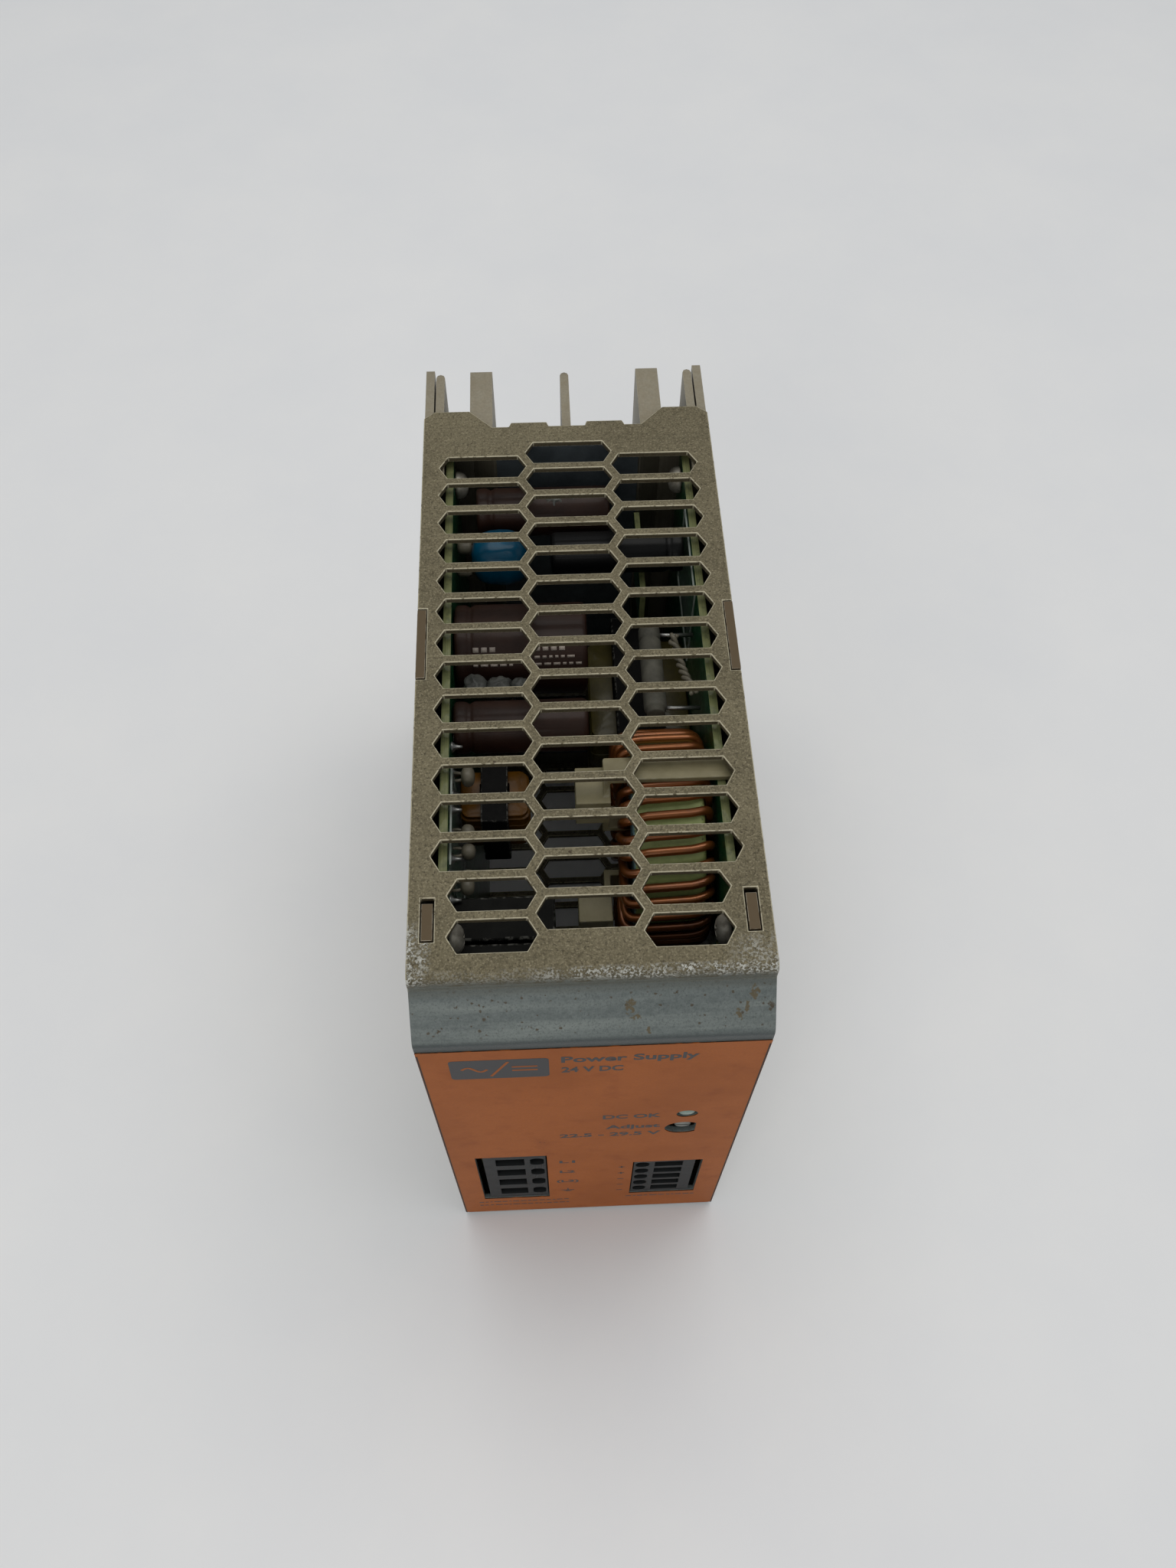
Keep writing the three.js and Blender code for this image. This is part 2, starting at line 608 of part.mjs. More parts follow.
function terminalBlock(side, terminal) {
  const { top, bottom } = windowFrame(terminal);
  const back = TERMINAL_FRONT + TERMINAL_DEPTH;
  const block = box(ordered(side, TERMINAL_INNER, TERMINAL_OUTER), [TERMINAL_FRONT, back], [bottom, top]);
  const rise = terminal.openingHeight / 2;
  const entry = TERMINAL_INNER + ENTRY_FROM_INNER;
  const driver = TERMINAL_INNER + DRIVER_FROM_INNER;
  const entryX = ordered(side, entry, entry + ENTRY_WIDTH);
  const driverX = ordered(side, driver, driver + DRIVER_WIDTH);
  const chamberX = ordered(side, TERMINAL_INNER + TERMINAL_SKIN, TERMINAL_OUTER - TERMINAL_SKIN);
  const chamberRise = (terminal.pitch - terminal.divider) / 2;
  const front = [TERMINAL_FRONT - 1, TERMINAL_FRONT + TERMINAL_FACE + 0.5];
  const chamber = [TERMINAL_FRONT + TERMINAL_FACE, back - TERMINAL_SKIN];
  const tools = [];
  for (const z of poleHeights(terminal)) {
    tools.push(alongY(rounded(entryX, [z - rise, z + rise], ENTRY_WIDTH * 0.45), front, 4));
    tools.push(box(driverX, front, [z - rise, z + rise]));
    tools.push(box(chamberX, chamber, [z - chamberRise, z + chamberRise]));
  }
  return cut(block, ...tools);
}
add('input_terminal_block', terminalBlock(-1, INPUT), greyPlastic);
add('output_terminal_block', terminalBlock(1, OUTPUT), greyPlastic);

// The pivot end of each clamp spring, inside the outer rear corner of its chamber.
const CLAMP_PIVOT = { x: TERMINAL_OUTER - 2.2, y: TERMINAL_FRONT + TERMINAL_DEPTH - 3 };

// A bent leaf: it runs from its pivot forward under the screwdriver slot and ends in a nose
// behind the wire entry.
function clampSpring(side, width) {
  const behindFace = TERMINAL_FRONT + TERMINAL_FACE;
  const leaf = bent([
    [CLAMP_PIVOT.x, CLAMP_PIVOT.y],
    [CLAMP_PIVOT.x - 1.2, CLAMP_PIVOT.y - 3.5, 1],
    [TERMINAL_INNER + DRIVER_FROM_INNER - 0.6, behindFace + 2.2, 1.2],
    [TERMINAL_INNER + 2, behindFace + 4.8],
  ], 3).map((point) => new THREE.Vector2(side * point.x, point.y));
  return alongZ(strip(leaf, side * CLAMP_STRIP), [-width / 2, width / 2]);
}

function addClamps(kind, side, terminal) {
  poleHeights(terminal).forEach((z, i) => {
    add(`${kind}_clamp_${i + 1}`, clampSpring(side, terminal.strip), springSteel).position.z = z;
  });
}
addClamps('input', -1, INPUT);
addClamps('output', 1, OUTPUT);

// ---------------------------------------------------------------- indicator and voltage trimmer

// A domed lens with a collar, and the holder that carries it from the board.
function statusLed() {
  const r = LED_HOLE_R - GAP;
  const [collar, back] = [5, 6.2];
  const dome = [
    [0, 0.5], [r * 0.6, 0.65], [r * 0.93, 1.2], [r, 1.9], [r, collar],
    [r + 0.4, collar], [r + 0.4, back], [0, back],
  ];
  const lens = turned(dome, 'y', 16).translate(LED_X, 0, LED_Z);
  return join(lens, box([LED_X - 1.5, ON_BOARD], [collar + 0.4, 9.6], [LED_Z - 2.2, LED_Z + 2.2]));
}
add('status_led', statusLed(), ledGreen);

const TRIMMER = { half: 4.8, front: 2.6, back: 8.2, well: 5.6, rotorFront: 2.2, slot: 0.9, slotDepth: 0.9 };

function trimmerBody() {
  const { half, front, back, well } = TRIMMER;
  const body = box([TRIMMER_X - half, ON_BOARD], [front, back], [TRIMMER_Z - half, TRIMMER_Z + half]);
  return cut(body, rod(ROTOR_R + GAP, [front - 1, well], 'y', 24).translate(TRIMMER_X, 0, TRIMMER_Z));
}
add('trimmer_body', trimmerBody(), potPlastic);

function trimmerRotor() {
  const { rotorFront, well, slot, slotDepth } = TRIMMER;
  const disc = rod(ROTOR_R, [rotorFront, well - GAP], 'y', 24);
  const across = [-ROTOR_R - 1, ROTOR_R + 1];
  return cut(disc, box(across, [rotorFront - 1, rotorFront + slotDepth], [-slot / 2, slot / 2]));
}
add('trimmer_rotor', trimmerRotor(), potRotor).position.set(TRIMMER_X, 0, TRIMMER_Z);

// ---------------------------------------------------------------- rail bracket, latch and spring

const railTop = RAIL_CENTRE_Z + RAIL_HEIGHT / 2;
const railLow = RAIL_CENTRE_Z - RAIL_HEIGHT / 2;
const RAIL_PLAY = 0.4;        // between the rail's edges and what holds them
const lip = [RAIL_FACE + RAIL_EDGE + RAIL_PLAY, RAIL_FACE + RAIL_EDGE + RAIL_PLAY + HOOK_THICK];
const latchSlide = [PLATE_BACK + GAP, lip[0] + 0.1];
const GUIDE = 1.2;
const GUIDE_OVERHANG = 2.5;
const guideBack = latchSlide[1] + 2 * GAP + GUIDE;
const EAR_THICK = 1.5;
const DRIVER_SLOT = 6;
const springAxisY = PLATE_FRONT - SPRING_Y_IN;
const springEar = { x: [SPRING_X - 2.5, SPRING_X + 2.5], front: springAxisY - 2.8 };
const springFoot = BRACKET_LOW + 4.2;
const springHead = springFoot + SPRING_LENGTH;

// Two hooks bent back from the plate, over the upper edge of the rail.
function railHooks() {
  const under = railTop + GAP;
  return [-HOOK_X, HOOK_X].flatMap((x) => {
    const xs = [x - HOOK_WIDTH / 2, x + HOOK_WIDTH / 2];
    return [
      box(xs, [PLATE_BACK - 0.5, lip[1]], [under, under + HOOK_THICK]),
      box(xs, lip, [railTop - HOOK_GRIP, under + HOOK_THICK]),
    ];
  });
}

// Angled guides on both sides of the latch, and the ear under its spring.
function latchGuides() {
  const z = [BRACKET_LOW + 1, BRACKET_LOW + 9];
  const near = LATCH_WIDTH / 2 + GAP;
  const far = near + 1.5;
  const start = PLATE_BACK - 0.5;
  const pieces = [-1, 1].flatMap((side) => [
    box(ordered(side, near, far), [start, guideBack], z),
    box(ordered(side, near - GUIDE_OVERHANG, far), [guideBack - GUIDE, guideBack], z),
  ]);
  const earZ = [springFoot - GAP - EAR_THICK, springFoot - GAP];
  return [...pieces, box(springEar.x, [springEar.front, PLATE_FRONT + 0.5], earZ)];
}

function railBracket() {
  const halfWide = BRACKET_WIDTH / 2;
  const plate = box([-halfWide, halfWide], [PLATE_FRONT, PLATE_BACK], [BRACKET_LOW, BRACKET_TOP]);
  const seatZ = [railLow + HOOK_GRIP + 2 * GAP, railTop + 1.5];
  const seat = box([-RAIL_SEAT_X, RAIL_SEAT_X], [PLATE_BACK - 0.5, RAIL_FACE], seatZ);
  const travelSlot = box(
    [springEar.x[0] - 0.5, springEar.x[1] + 0.5], [PLATE_FRONT - 1, RAIL_FACE + 1],
    [springHead - LATCH_TRAVEL - 1, springHead + EAR_THICK + 1]);
  const sink = [
    [0, -1], [SCREW_HOLE_R, -1], [SCREW_HOLE_R, BRACKET - 1.5],
    [SCREW_HEAD_R + 0.35, BRACKET], [SCREW_HEAD_R + 0.35, BRACKET + 1], [0, BRACKET + 1],
  ];
  const sinks = bracketScrewPlaces.map(({ x, z }) => turned(sink, 'y', 16).translate(x, PLATE_FRONT, z));
  return cut(join(plate, seat, ...railHooks(), ...latchGuides()), travelSlot, ...sinks);
}
add('rail_bracket', railBracket(), platedSteel);

// A flat slide behind the bracket plate. Its lip holds the lower edge of the rail, its ear
// reaches through the plate to the spring, and its foot has a slot for a screwdriver.
function railLatch() {
  const xs = [-LATCH_WIDTH / 2, LATCH_WIDTH / 2];
  const top = railLow - RAIL_PLAY;
  const body = box(xs, latchSlide, [LATCH_LOW, top]);
  const grip = box(xs, lip, [top - 4, railLow + HOOK_GRIP]);
  const earZ = [springHead + GAP, springHead + GAP + EAR_THICK];
  const ear = box(springEar.x, [springEar.front, latchSlide[0] + 0.5], earZ);
  const slotZ = [LATCH_LOW + 3, LATCH_LOW + 5];
  const slot = box([-DRIVER_SLOT / 2, DRIVER_SLOT / 2], [latchSlide[0] - 1, latchSlide[1] + 1], slotZ);
  return cut(join(body, grip, ear), slot);
}
add('rail_latch', railLatch(), platedSteel);

class Helix extends THREE.Curve {
  getPoint(t) {
    const angle = 2 * Math.PI * SPRING_TURNS * t;
    const rise = SPRING_WIRE / 2 + (SPRING_LENGTH - SPRING_WIRE) * t;
    return new THREE.Vector3(SPRING_R * Math.cos(angle), SPRING_R * Math.sin(angle), rise);
  }
}

function latchSpring() {
  const wire = new THREE.Shape();
  wire.absarc(0, 0, SPRING_WIRE / 2, 0, 2 * Math.PI);
  return new THREE.ExtrudeGeometry(wire, {
    steps: SPRING_TURNS * 12, curveSegments: 3, bevelEnabled: false, extrudePath: new Helix(),
  });
}
add('latch_spring', latchSpring(), springSteel).position.set(SPRING_X, springAxisY, springFoot);

// ---------------------------------------------------------------- parts that stand on the boards

// An electrolytic can lying across the case, its base at the board and a groove near the base.
function can(radius, length) {
  const groove = Math.min(3, length * 0.15);
  return [
    [0, 0], [radius - 0.4, 0], [radius, 0.5],
    [radius, groove - 0.8], [radius - 0.6, groove], [radius, groove + 0.8],
    [radius, length - 0.6], [radius - 0.6, length], [0, length],
  ];
}

function acrossFromBoard(side, geometry, inset = 0) {
  const placed = side < 0 ? geometry : geometry.rotateZ(Math.PI);
  return placed.translate(side * (ON_BOARD - inset), 0, 0);
}

function addCan(name, side, { radius, length, y, drop, inset = 0 }, material) {
  const mesh = add(name, acrossFromBoard(side, turned(can(radius, length), 'x', 20), inset), material);
  mesh.position.set(0, y, HEIGHT - drop);
}
addCan('bulk_capacitor_1', -1, { radius: 9, length: 25.7, y: 82.4, drop: 13.2 }, brownSleeve);
addCan('bulk_capacitor_2', -1, { radius: 5, length: 25.2, y: 62.2, drop: 10.6 }, brownSleeve);
addCan('bulk_capacitor_3', -1, { radius: 5, length: 27.6, y: 115.4, drop: 9.2, inset: 4.2 }, brownSleeve);
addCan('output_capacitor_1', 1, { radius: 4.3, length: 27, y: 103.2, drop: 8.7, inset: 0.8 }, blackSleeve);
addCan('output_capacitor_2', 1, { radius: 6.2, length: 20, y: 30, drop: 96 }, blackSleeve);

// A square stiff lead that runs across the case from a board.
const LEAD = 1;
function lead(length, y) {
  return box([0, length], [y - LEAD / 2, y + LEAD / 2], [-LEAD / 2, LEAD / 2]);
}

// A dipped film capacitor: a rounded block on two stiff leads.
function dippedCapacitor() {
  const [halfLong, halfWide, halfTall, fromBoard] = [5.9, 5.2, 5.4, 8.9];
  const body = new THREE.SphereGeometry(1, 16, 10)
    .scale(halfLong, halfWide, halfTall)
    .translate(fromBoard, 0, 0);
  return join(body, lead(fromBoard - 1, -3), lead(fromBoard - 1, 3));
}
const filmCapacitor = add('film_capacitor', acrossFromBoard(-1, dippedCapacitor()), blueEpoxy);
filmCapacitor.position.set(0, 103, HEIGHT - 9.2);

const LINE_CAPACITOR = { height: 17.8, thick: 8.3, long: 26, drop: 10.6, firstRear: 26.7 };
function addLineCapacitor(index) {
  const { height, thick, long, drop, firstRear } = LINE_CAPACITOR;
  const rear = firstRear - index * (thick + 2 * GAP);
  const top = HEIGHT - drop;
  const geometry = box([-ON_BOARD, -ON_BOARD + height], [rear - thick, rear], [top - long, top]);
  add(`line_capacitor_${index + 1}`, geometry, greyBox);
}
addLineCapacitor(0);
addLineCapacitor(1);

// A transformer: a ferrite frame with a middle leg, and the taped winding around that leg.
function transformerCore({ wide, tall, thick, legs, middle }) {
  const frame = box([-thick / 2, thick / 2], [-wide / 2, wide / 2], [-tall / 2, tall / 2]);
  const rise = tall / 2 - legs;
  const windows = [-1, 1].map((side) =>
    box([-thick, thick], ordered(side, middle / 2, wide / 2 - legs), [-rise, rise]));
  return cut(frame, ...windows);
}

function transformerWinding({ wide, tall, thick, legs, middle, across }) {
  const rim = wide / 2 - legs - GAP;
  const shape = rounded([-across / 2, across / 2], [-rim, rim], 1.6);
  shape.holes.push(rounded([-thick / 2 - GAP, thick / 2 + GAP], [-middle / 2 - GAP, middle / 2 + GAP], 0.2));
  const z = tall / 2 - legs - GAP;
  return alongZ(shape, [-z, z], 3);
}

function addTransformer(name, size, side, { y, drop, inset = 0 }, tape) {
  const x = side * (ON_BOARD - inset - size.across / 2);
  add(`${name}_core`, transformerCore(size), ferrite).position.set(x, y, HEIGHT - drop);
  add(`${name}_winding`, transformerWinding(size), tape).position.set(x, y, HEIGHT - drop);
}
const MAIN_TRANSFORMER = { wide: 32, tall: 32, thick: 10, legs: 3.4, middle: 9, across: 20.8 };
const SMALL_TRANSFORMER = { wide: 14, tall: 15, thick: 5, legs: 1.6, middle: 4, across: 12.8 };
const BEHIND_CHOKE = 2;
const mainTransformerY = chokeCentre.y + CHOKE_R + BEHIND_CHOKE + MAIN_TRANSFORMER.wide / 2;
addTransformer('main_transformer', MAIN_TRANSFORMER, 1, { y: mainTransformerY, drop: 42 }, yellowTape);
addTransformer('auxiliary_transformer', SMALL_TRANSFORMER, -1, { y: 49.8, drop: 20, inset: 0.8 }, amberTape);

// A ceramic resistor lying front to back on two leads.
function ceramicResistor() {
  const { long, r, groove, fromBoard } = RESISTOR;
  const profile = [
    [0, 0], [r, 0], [r, groove - 0.4], [r - 0.3, groove], [r, groove + 0.4], [r, long], [0, long],
  ];
  const leads = [1.5, long - 1.5].map((y) => lead(fromBoard - 0.2, y));
  return join(turned(profile, 'y', 14), ...leads);
}
add('ceramic_resistor', ceramicResistor(), ceramic)
  .position.set(ON_BOARD - RESISTOR.fromBoard, resistorFront, HEIGHT - RESISTOR.drop);

const CONTROL_BOARD = { fromBoard: 8.4, thick: 1.2, y: [97, 119], drop: 14, tall: 11.4 };
function controlBoard() {
  const { fromBoard, thick, y, drop, tall } = CONTROL_BOARD;
  const x = ON_BOARD - fromBoard;
  return box([x - thick, x], y, [HEIGHT - drop - tall, HEIGHT - drop]);
}
add('control_board', controlBoard(), boardGreen);

// ---------------------------------------------------------------- output choke and its ties

const chokeRight = ON_BOARD - 0.3;
const chokeLeft = chokeRight - CHOKE_WIDE;
const coreFaces = [chokeLeft + CHOKE_WIRE + CHOKE_BULGE, chokeRight - CHOKE_WIRE];
const coreRadii = [CHOKE_BORE_R + CHOKE_WIRE + GAP, CHOKE_R - CHOKE_WIRE - GAP];

function ring(profile) {
  return turned([...profile, profile[0]], 'x', 40).translate(0, chokeCentre.y, chokeCentre.z);
}

function chokeCore() {
  const [inner, outer] = coreRadii;
  const [left, right] = coreFaces;
  return ring([[inner, left], [outer, left], [outer, right], [inner, right]]);
}
add('choke_core', chokeCore(), coreGreen);

// The turns as one channel round the core, open along the middle of the rim.
function chokeWinding() {
  const [left, right] = [coreFaces[0] - GAP, coreFaces[1] + GAP];
  const [inner, outer] = [coreRadii[0] - GAP, coreRadii[1] + GAP];
  const middle = (left + right) / 2;
  const slit = CHOKE_RIM_SLIT / 2;
  return ring([
    [CHOKE_BORE_R, chokeLeft + 1], [CHOKE_BORE_R + 1, chokeLeft], [CHOKE_R - 1.5, chokeLeft],
    [CHOKE_R, chokeLeft + 1.5], [CHOKE_R, middle - slit], [outer, middle - slit], [outer, left],
    [inner, left], [inner, right], [outer, right], [outer, middle + slit], [CHOKE_R, middle + slit],
    [CHOKE_R, chokeRight - 1], [CHOKE_R - 1, chokeRight],
    [CHOKE_BORE_R + 1, chokeRight], [CHOKE_BORE_R, chokeRight - 1],
  ]);
}
add('choke_winding', chokeWinding(), copperEnamel);

// Each tie is a loop round the ring's section and the board, with its head on the free face.
function cableTie(headAt) {
  const [left, right] = [chokeLeft - GAP - TIE, BOARD_OUTER + GAP + TIE];
  const [outside, inside] = [tieRun.outside + TIE, tieRun.inside - TIE];
  const loop = outline([[left, inside], [right, inside], [right, outside], [left, outside]]);
  const [l, r, i, o] = [left + TIE, right - TIE, inside + TIE, outside - TIE];
  loop.holes.push(outline([[l, i], [r, i], [r, o], [l, o]]));
  const strap = alongZ(loop, [-TIE_WIDTH / 2, TIE_WIDTH / 2]);
  const [headX, headR, headW] = TIE_HEAD;
  const headX1 = left + TIE;
  const head = box(
    [headX1 - headX, headX1], [headAt - headR / 2, headAt + headR / 2], [-headW / 2, headW / 2]);
  return join(strap, head);
}

function addTie(name, turn, headAt) {
  const mesh = add(name, cableTie(headAt), nylon);
  mesh.position.set(0, chokeCentre.y, chokeCentre.z);
  mesh.rotation.x = turn;
}
const tieMiddle = (CHOKE_R + CHOKE_BORE_R) / 2;
addTie('choke_tie_1', Math.PI / 2, tieMiddle + 1.5);
addTie('choke_tie_2', Math.PI, tieMiddle);

// ---------------------------------------------------------------- parts low in the case

// Two windings on a square ferrite frame, standing on a plastic foot at the left board.
const FILTER_CHOKE = { y: 30, drop: 60, frameWide: 22, frameTall: 26, frameThick: 7, windingR: 5.6, foot: 6 };
function filterChoke() {
  const { y, drop, frameWide, frameTall, frameThick, windingR, foot } = FILTER_CHOKE;
  const z = HEIGHT - drop;
  const board = -ON_BOARD;
  const frameX = [board + foot - 1, board + foot - 1 + frameThick];
  const frame = box(frameX, [y - frameWide / 2, y + frameWide / 2], [z - frameTall / 2, z + frameTall / 2]);
  const middle = (frameX[0] + frameX[1]) / 2;
  const tall = frameTall / 2 - 3.4;
  const windings = [-1, 1].map((side) =>
    rod(windingR, [-tall, tall], 'z', 18).translate(middle, y + side * (windingR + 0.4), z));
  const footHalf = 9;
  const base = box([board, board + foot], [y - footHalf, y + footHalf], [z - footHalf, z + footHalf]);
  return join(frame, ...windings, base);
}
add('filter_choke', filterChoke(), ferrite);

// Flat-backed power parts pressed against the back wall by one bar.
const POWER_PART = { drop: 80, thick: 4.6 };
const powerPartY = [rearSheet.y[0] - GAP - POWER_PART.thick, rearSheet.y[0] - GAP];
function addPowerPart(name, x, tall) {
  const z = HEIGHT - POWER_PART.drop;
  add(name, box(x, powerPartY, [z - tall / 2, z + tall / 2]), blackEpoxy);
}
addPowerPart('bridge_rectifier', [-14.5, -1.5], 18);
addPowerPart('switching_transistor', [1.5, 7.5], 15);
addPowerPart('output_rectifier', [8.5, 14.5], 15);

const CLAMP_BAR = { halfLong: 17, halfTall: 4, thick: 1.5, halfLeg: 1 };
function clampBar() {
  const { halfLong, halfTall, thick, halfLeg } = CLAMP_BAR;
  const z = HEIGHT - POWER_PART.drop;
  const rear = powerPartY[0] - GAP;
  const bar = box([-halfLong, halfLong], [rear - thick, rear], [z - halfTall, z + halfTall]);
  const leg = box([-halfLeg, halfLeg], [rear - 0.5, powerPartY[1]], [z - halfTall, z + halfTall]);
  return join(bar, leg);
}
add('clamp_bar', clampBar(), platedSteel);

// ---------------------------------------------------------------- placing

const rearmost = Math.max(lip[1], guideBack, DEPTH);
const assembly = new THREE.Group();
supply.position.y = -rearmost / 2;
assembly.add(supply);

export default assembly;
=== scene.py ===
import json
import math
import random

import bmesh
import bpy
from mathutils import Matrix, Vector, noise

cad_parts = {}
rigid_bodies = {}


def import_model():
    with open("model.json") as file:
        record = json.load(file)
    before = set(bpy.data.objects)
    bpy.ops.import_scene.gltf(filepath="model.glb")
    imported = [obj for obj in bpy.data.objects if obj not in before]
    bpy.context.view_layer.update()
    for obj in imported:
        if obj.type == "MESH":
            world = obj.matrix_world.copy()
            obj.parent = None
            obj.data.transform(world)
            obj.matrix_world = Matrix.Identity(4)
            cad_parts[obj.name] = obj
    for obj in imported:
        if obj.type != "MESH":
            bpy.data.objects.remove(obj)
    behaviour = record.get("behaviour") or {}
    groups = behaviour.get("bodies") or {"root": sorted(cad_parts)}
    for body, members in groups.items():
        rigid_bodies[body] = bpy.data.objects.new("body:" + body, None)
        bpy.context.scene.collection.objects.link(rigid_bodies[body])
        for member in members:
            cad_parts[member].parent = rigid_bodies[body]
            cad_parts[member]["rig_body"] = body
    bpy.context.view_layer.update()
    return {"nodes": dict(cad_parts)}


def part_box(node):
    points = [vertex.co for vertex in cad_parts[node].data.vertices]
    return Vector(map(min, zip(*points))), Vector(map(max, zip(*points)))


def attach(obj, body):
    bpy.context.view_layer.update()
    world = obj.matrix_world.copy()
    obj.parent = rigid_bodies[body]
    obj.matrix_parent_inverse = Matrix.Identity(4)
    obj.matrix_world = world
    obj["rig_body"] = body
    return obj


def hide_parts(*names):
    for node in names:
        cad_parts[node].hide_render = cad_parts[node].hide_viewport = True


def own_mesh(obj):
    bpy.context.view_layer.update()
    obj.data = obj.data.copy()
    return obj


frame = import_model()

# %% [markdown]
# # A DIN rail power supply
#
# The CAD frame holds every part at its real size. This lesson dresses it: each part gets a finer
# mesh with the small rounds that tools and moulds leave, the coils and cans are made again as
# they are really made, and each finish is mixed from a few shared effects.

# %% [markdown]
# ## A maker's coordinates
#
# A bench drawing of this unit counts across from its middle, back from the face of its label and
# up from the table, in millimetres. `at` turns such a drawing point into the frame's metres, so
# the pieces below can be read against a rule.

# %% Millimetres from the label
MM = 0.001
LABEL_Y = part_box("front_label")[0].y
TOP_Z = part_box("front_cover")[1].z
HEIGHT = TOP_Z / MM


def at(x, y, z):
    return Vector((x * MM, LABEL_Y + y * MM, z * MM))


def box_mm(node):
    """Lowest and highest corner of a CAD node, in drawing millimetres."""
    low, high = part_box(node)
    shift = Vector((0, LABEL_Y, 0))
    return (low - shift) / MM, (high - shift) / MM


print("height", round(HEIGHT), "mm, label face at y =", round(LABEL_Y, 4), "m")

# %% [markdown]
# ## The camera and the light
#
# The unit stands on a pale table and is seen from above its front edge through a moderately
# wide lens. One large soft lamp overhead and a bright room give the faint shadow and the grey
# sheen on the top sheet. A low panel in front keeps the label from going dull.

# %% Camera
LENS_MM = 28.97
YAW, PITCH, ROLL = (math.radians(a) for a in (3.16, 58.74, 0.80))
EYE = at(-5.61, -71.30, 317.78)


def make_camera():
    data = bpy.data.cameras.new("camera")
    data.lens = LENS_MM
    data.sensor_width = 36
    camera = bpy.data.objects.new("camera", data)
    forward = Vector((math.sin(YAW) * math.cos(PITCH), math.cos(YAW) * math.cos(PITCH), -math.sin(PITCH)))
    right = Vector((math.cos(YAW), -math.sin(YAW), 0))
    up = right.cross(forward)
    rolled_right = right * math.cos(ROLL) + up * math.sin(ROLL)
    rolled_up = up * math.cos(ROLL) - right * math.sin(ROLL)
    turn = Matrix((rolled_right, rolled_up, -forward)).transposed()
    camera.matrix_world = Matrix.Translation(EYE) @ turn.to_4x4()
    bpy.context.scene.collection.objects.link(camera)
    bpy.context.scene.camera = camera
    return camera


print("camera at", [round(v, 3) for v in make_camera().location])

# %% Lamps and room light
def soft_lamp(name, place, target, size, power, colour):
    data = bpy.data.lights.new(name, "AREA")
    data.shape = "RECTANGLE"
    data.size, data.size_y = size
    data.energy = power
    data.color = colour
    lamp = bpy.data.objects.new(name, data)
    lamp.location = place
    lamp.rotation_euler = (Vector(target) - Vector(place)).to_track_quat("-Z", "Y").to_euler()
    bpy.context.scene.collection.objects.link(lamp)


def room_light(colour, strength):
    world = bpy.data.worlds.new("room")
    world.use_nodes = True
    sky = world.node_tree.nodes["Background"]
    sky.inputs["Color"].default_value = (*colour, 1)
    sky.inputs["Strength"].default_value = strength
    bpy.context.scene.world = world


MIDDLE = (0, 0, 0.08)
soft_lamp("overhead", (0.12, 0.3, 1.35), MIDDLE, (1.4, 1.0), 8.2, (1.0, 0.985, 0.955))
soft_lamp("front_fill", (-0.35, -1.1, 0.75), MIDDLE, (1.0, 0.7), 3.4, (1.0, 0.97, 0.93))
room_light((0.93, 0.965, 1.0), 0.39)
bpy.context.scene.view_settings.view_transform = "Standard"
print("two lamps and a room light")

# %% [markdown]
# ## Mixing finishes
#
# `put` places one shader node, sets its choices and its sockets, and links where it is given
# another node's output. `times` multiplies masks, `mix` blends two colours and `span` stretches a
# range. Everything below is written with these, so that a finish reads as a recipe.

# %% Node helpers
def put(tree, kind, sockets=None, **choices):
    made = tree.nodes.new(kind)
    for key, value in choices.items():
        setattr(made, key, value)
    for key, value in (sockets or {}).items():
        socket = made.inputs[key]
        if isinstance(value, bpy.types.NodeSocket):
            tree.links.new(value, socket)
        else:
            socket.default_value = value
    return made


def math_node(tree, operation, a, b=0.0):
    return put(tree, "ShaderNodeMath", {0: a, 1: b}, operation=operation).outputs[0]


def times(tree, first, *others):
    """The product of masks and numbers."""
    for other in others:
        first = math_node(tree, "MULTIPLY", first, other)
    return first


def mix(tree, factor, a, b):
    return put(tree, "ShaderNodeMix", {0: factor, 6: a, 7: b}, data_type="RGBA").outputs[2]


def span(tree, value, low, high, out_low=0.0, out_high=1.0):
    """Maps low..high to out_low..out_high and holds the ends."""
    sockets = {0: value, 1: low, 2: high, 3: out_low, 4: out_high}
    return put(tree, "ShaderNodeMapRange", sockets).outputs[0]


def colour(red, green, blue):
    """A paint colour given as the 0-255 numbers of a screen, as linear light."""
    def linear(c):
        c /= 255
        return c / 12.92 if c <= 0.04045 else ((c + 0.055) / 1.055) ** 2.4
    return (linear(red), linear(green), linear(blue), 1.0)


# %% [markdown]
# ## Shared effects
#
# Five effects come back in most finishes, so each is a node group that is built once: *mottle*
# (cloudy change of shade), *grain* (streaks along one direction, from rolling or extruding),
# *specks* (scattered dots), *wear_and_highlight* (a colour on the small rounds of the edges: bright
# metal or pale plastic where they are rubbed, and on the cover also a painted highlight) and *dust*
# (what settles on faces that look up). Sizes go in as millimetres.

# %% Effect groups
def new_group(name, **inputs):
    """An empty node group: its tree, and the outputs that hand in its inputs, by name."""
    tree = bpy.data.node_groups.new(name, "ShaderNodeTree")
    for label, start in inputs.items():
        kind = "NodeSocketVector" if isinstance(start, tuple) else "NodeSocketFloat"
        socket = tree.interface.new_socket(label, in_out="INPUT", socket_type=kind)
        socket.default_value = start
    tree.interface.new_socket("Mask", in_out="OUTPUT", socket_type="NodeSocketFloat")
    return tree, put(tree, "NodeGroupInput").outputs


def give_mask(tree, mask):
    put(tree, "NodeGroupOutput", {"Mask": mask})
    return tree


def place_on_piece(tree):
    return put(tree, "ShaderNodeTexCoord").outputs["Object"]


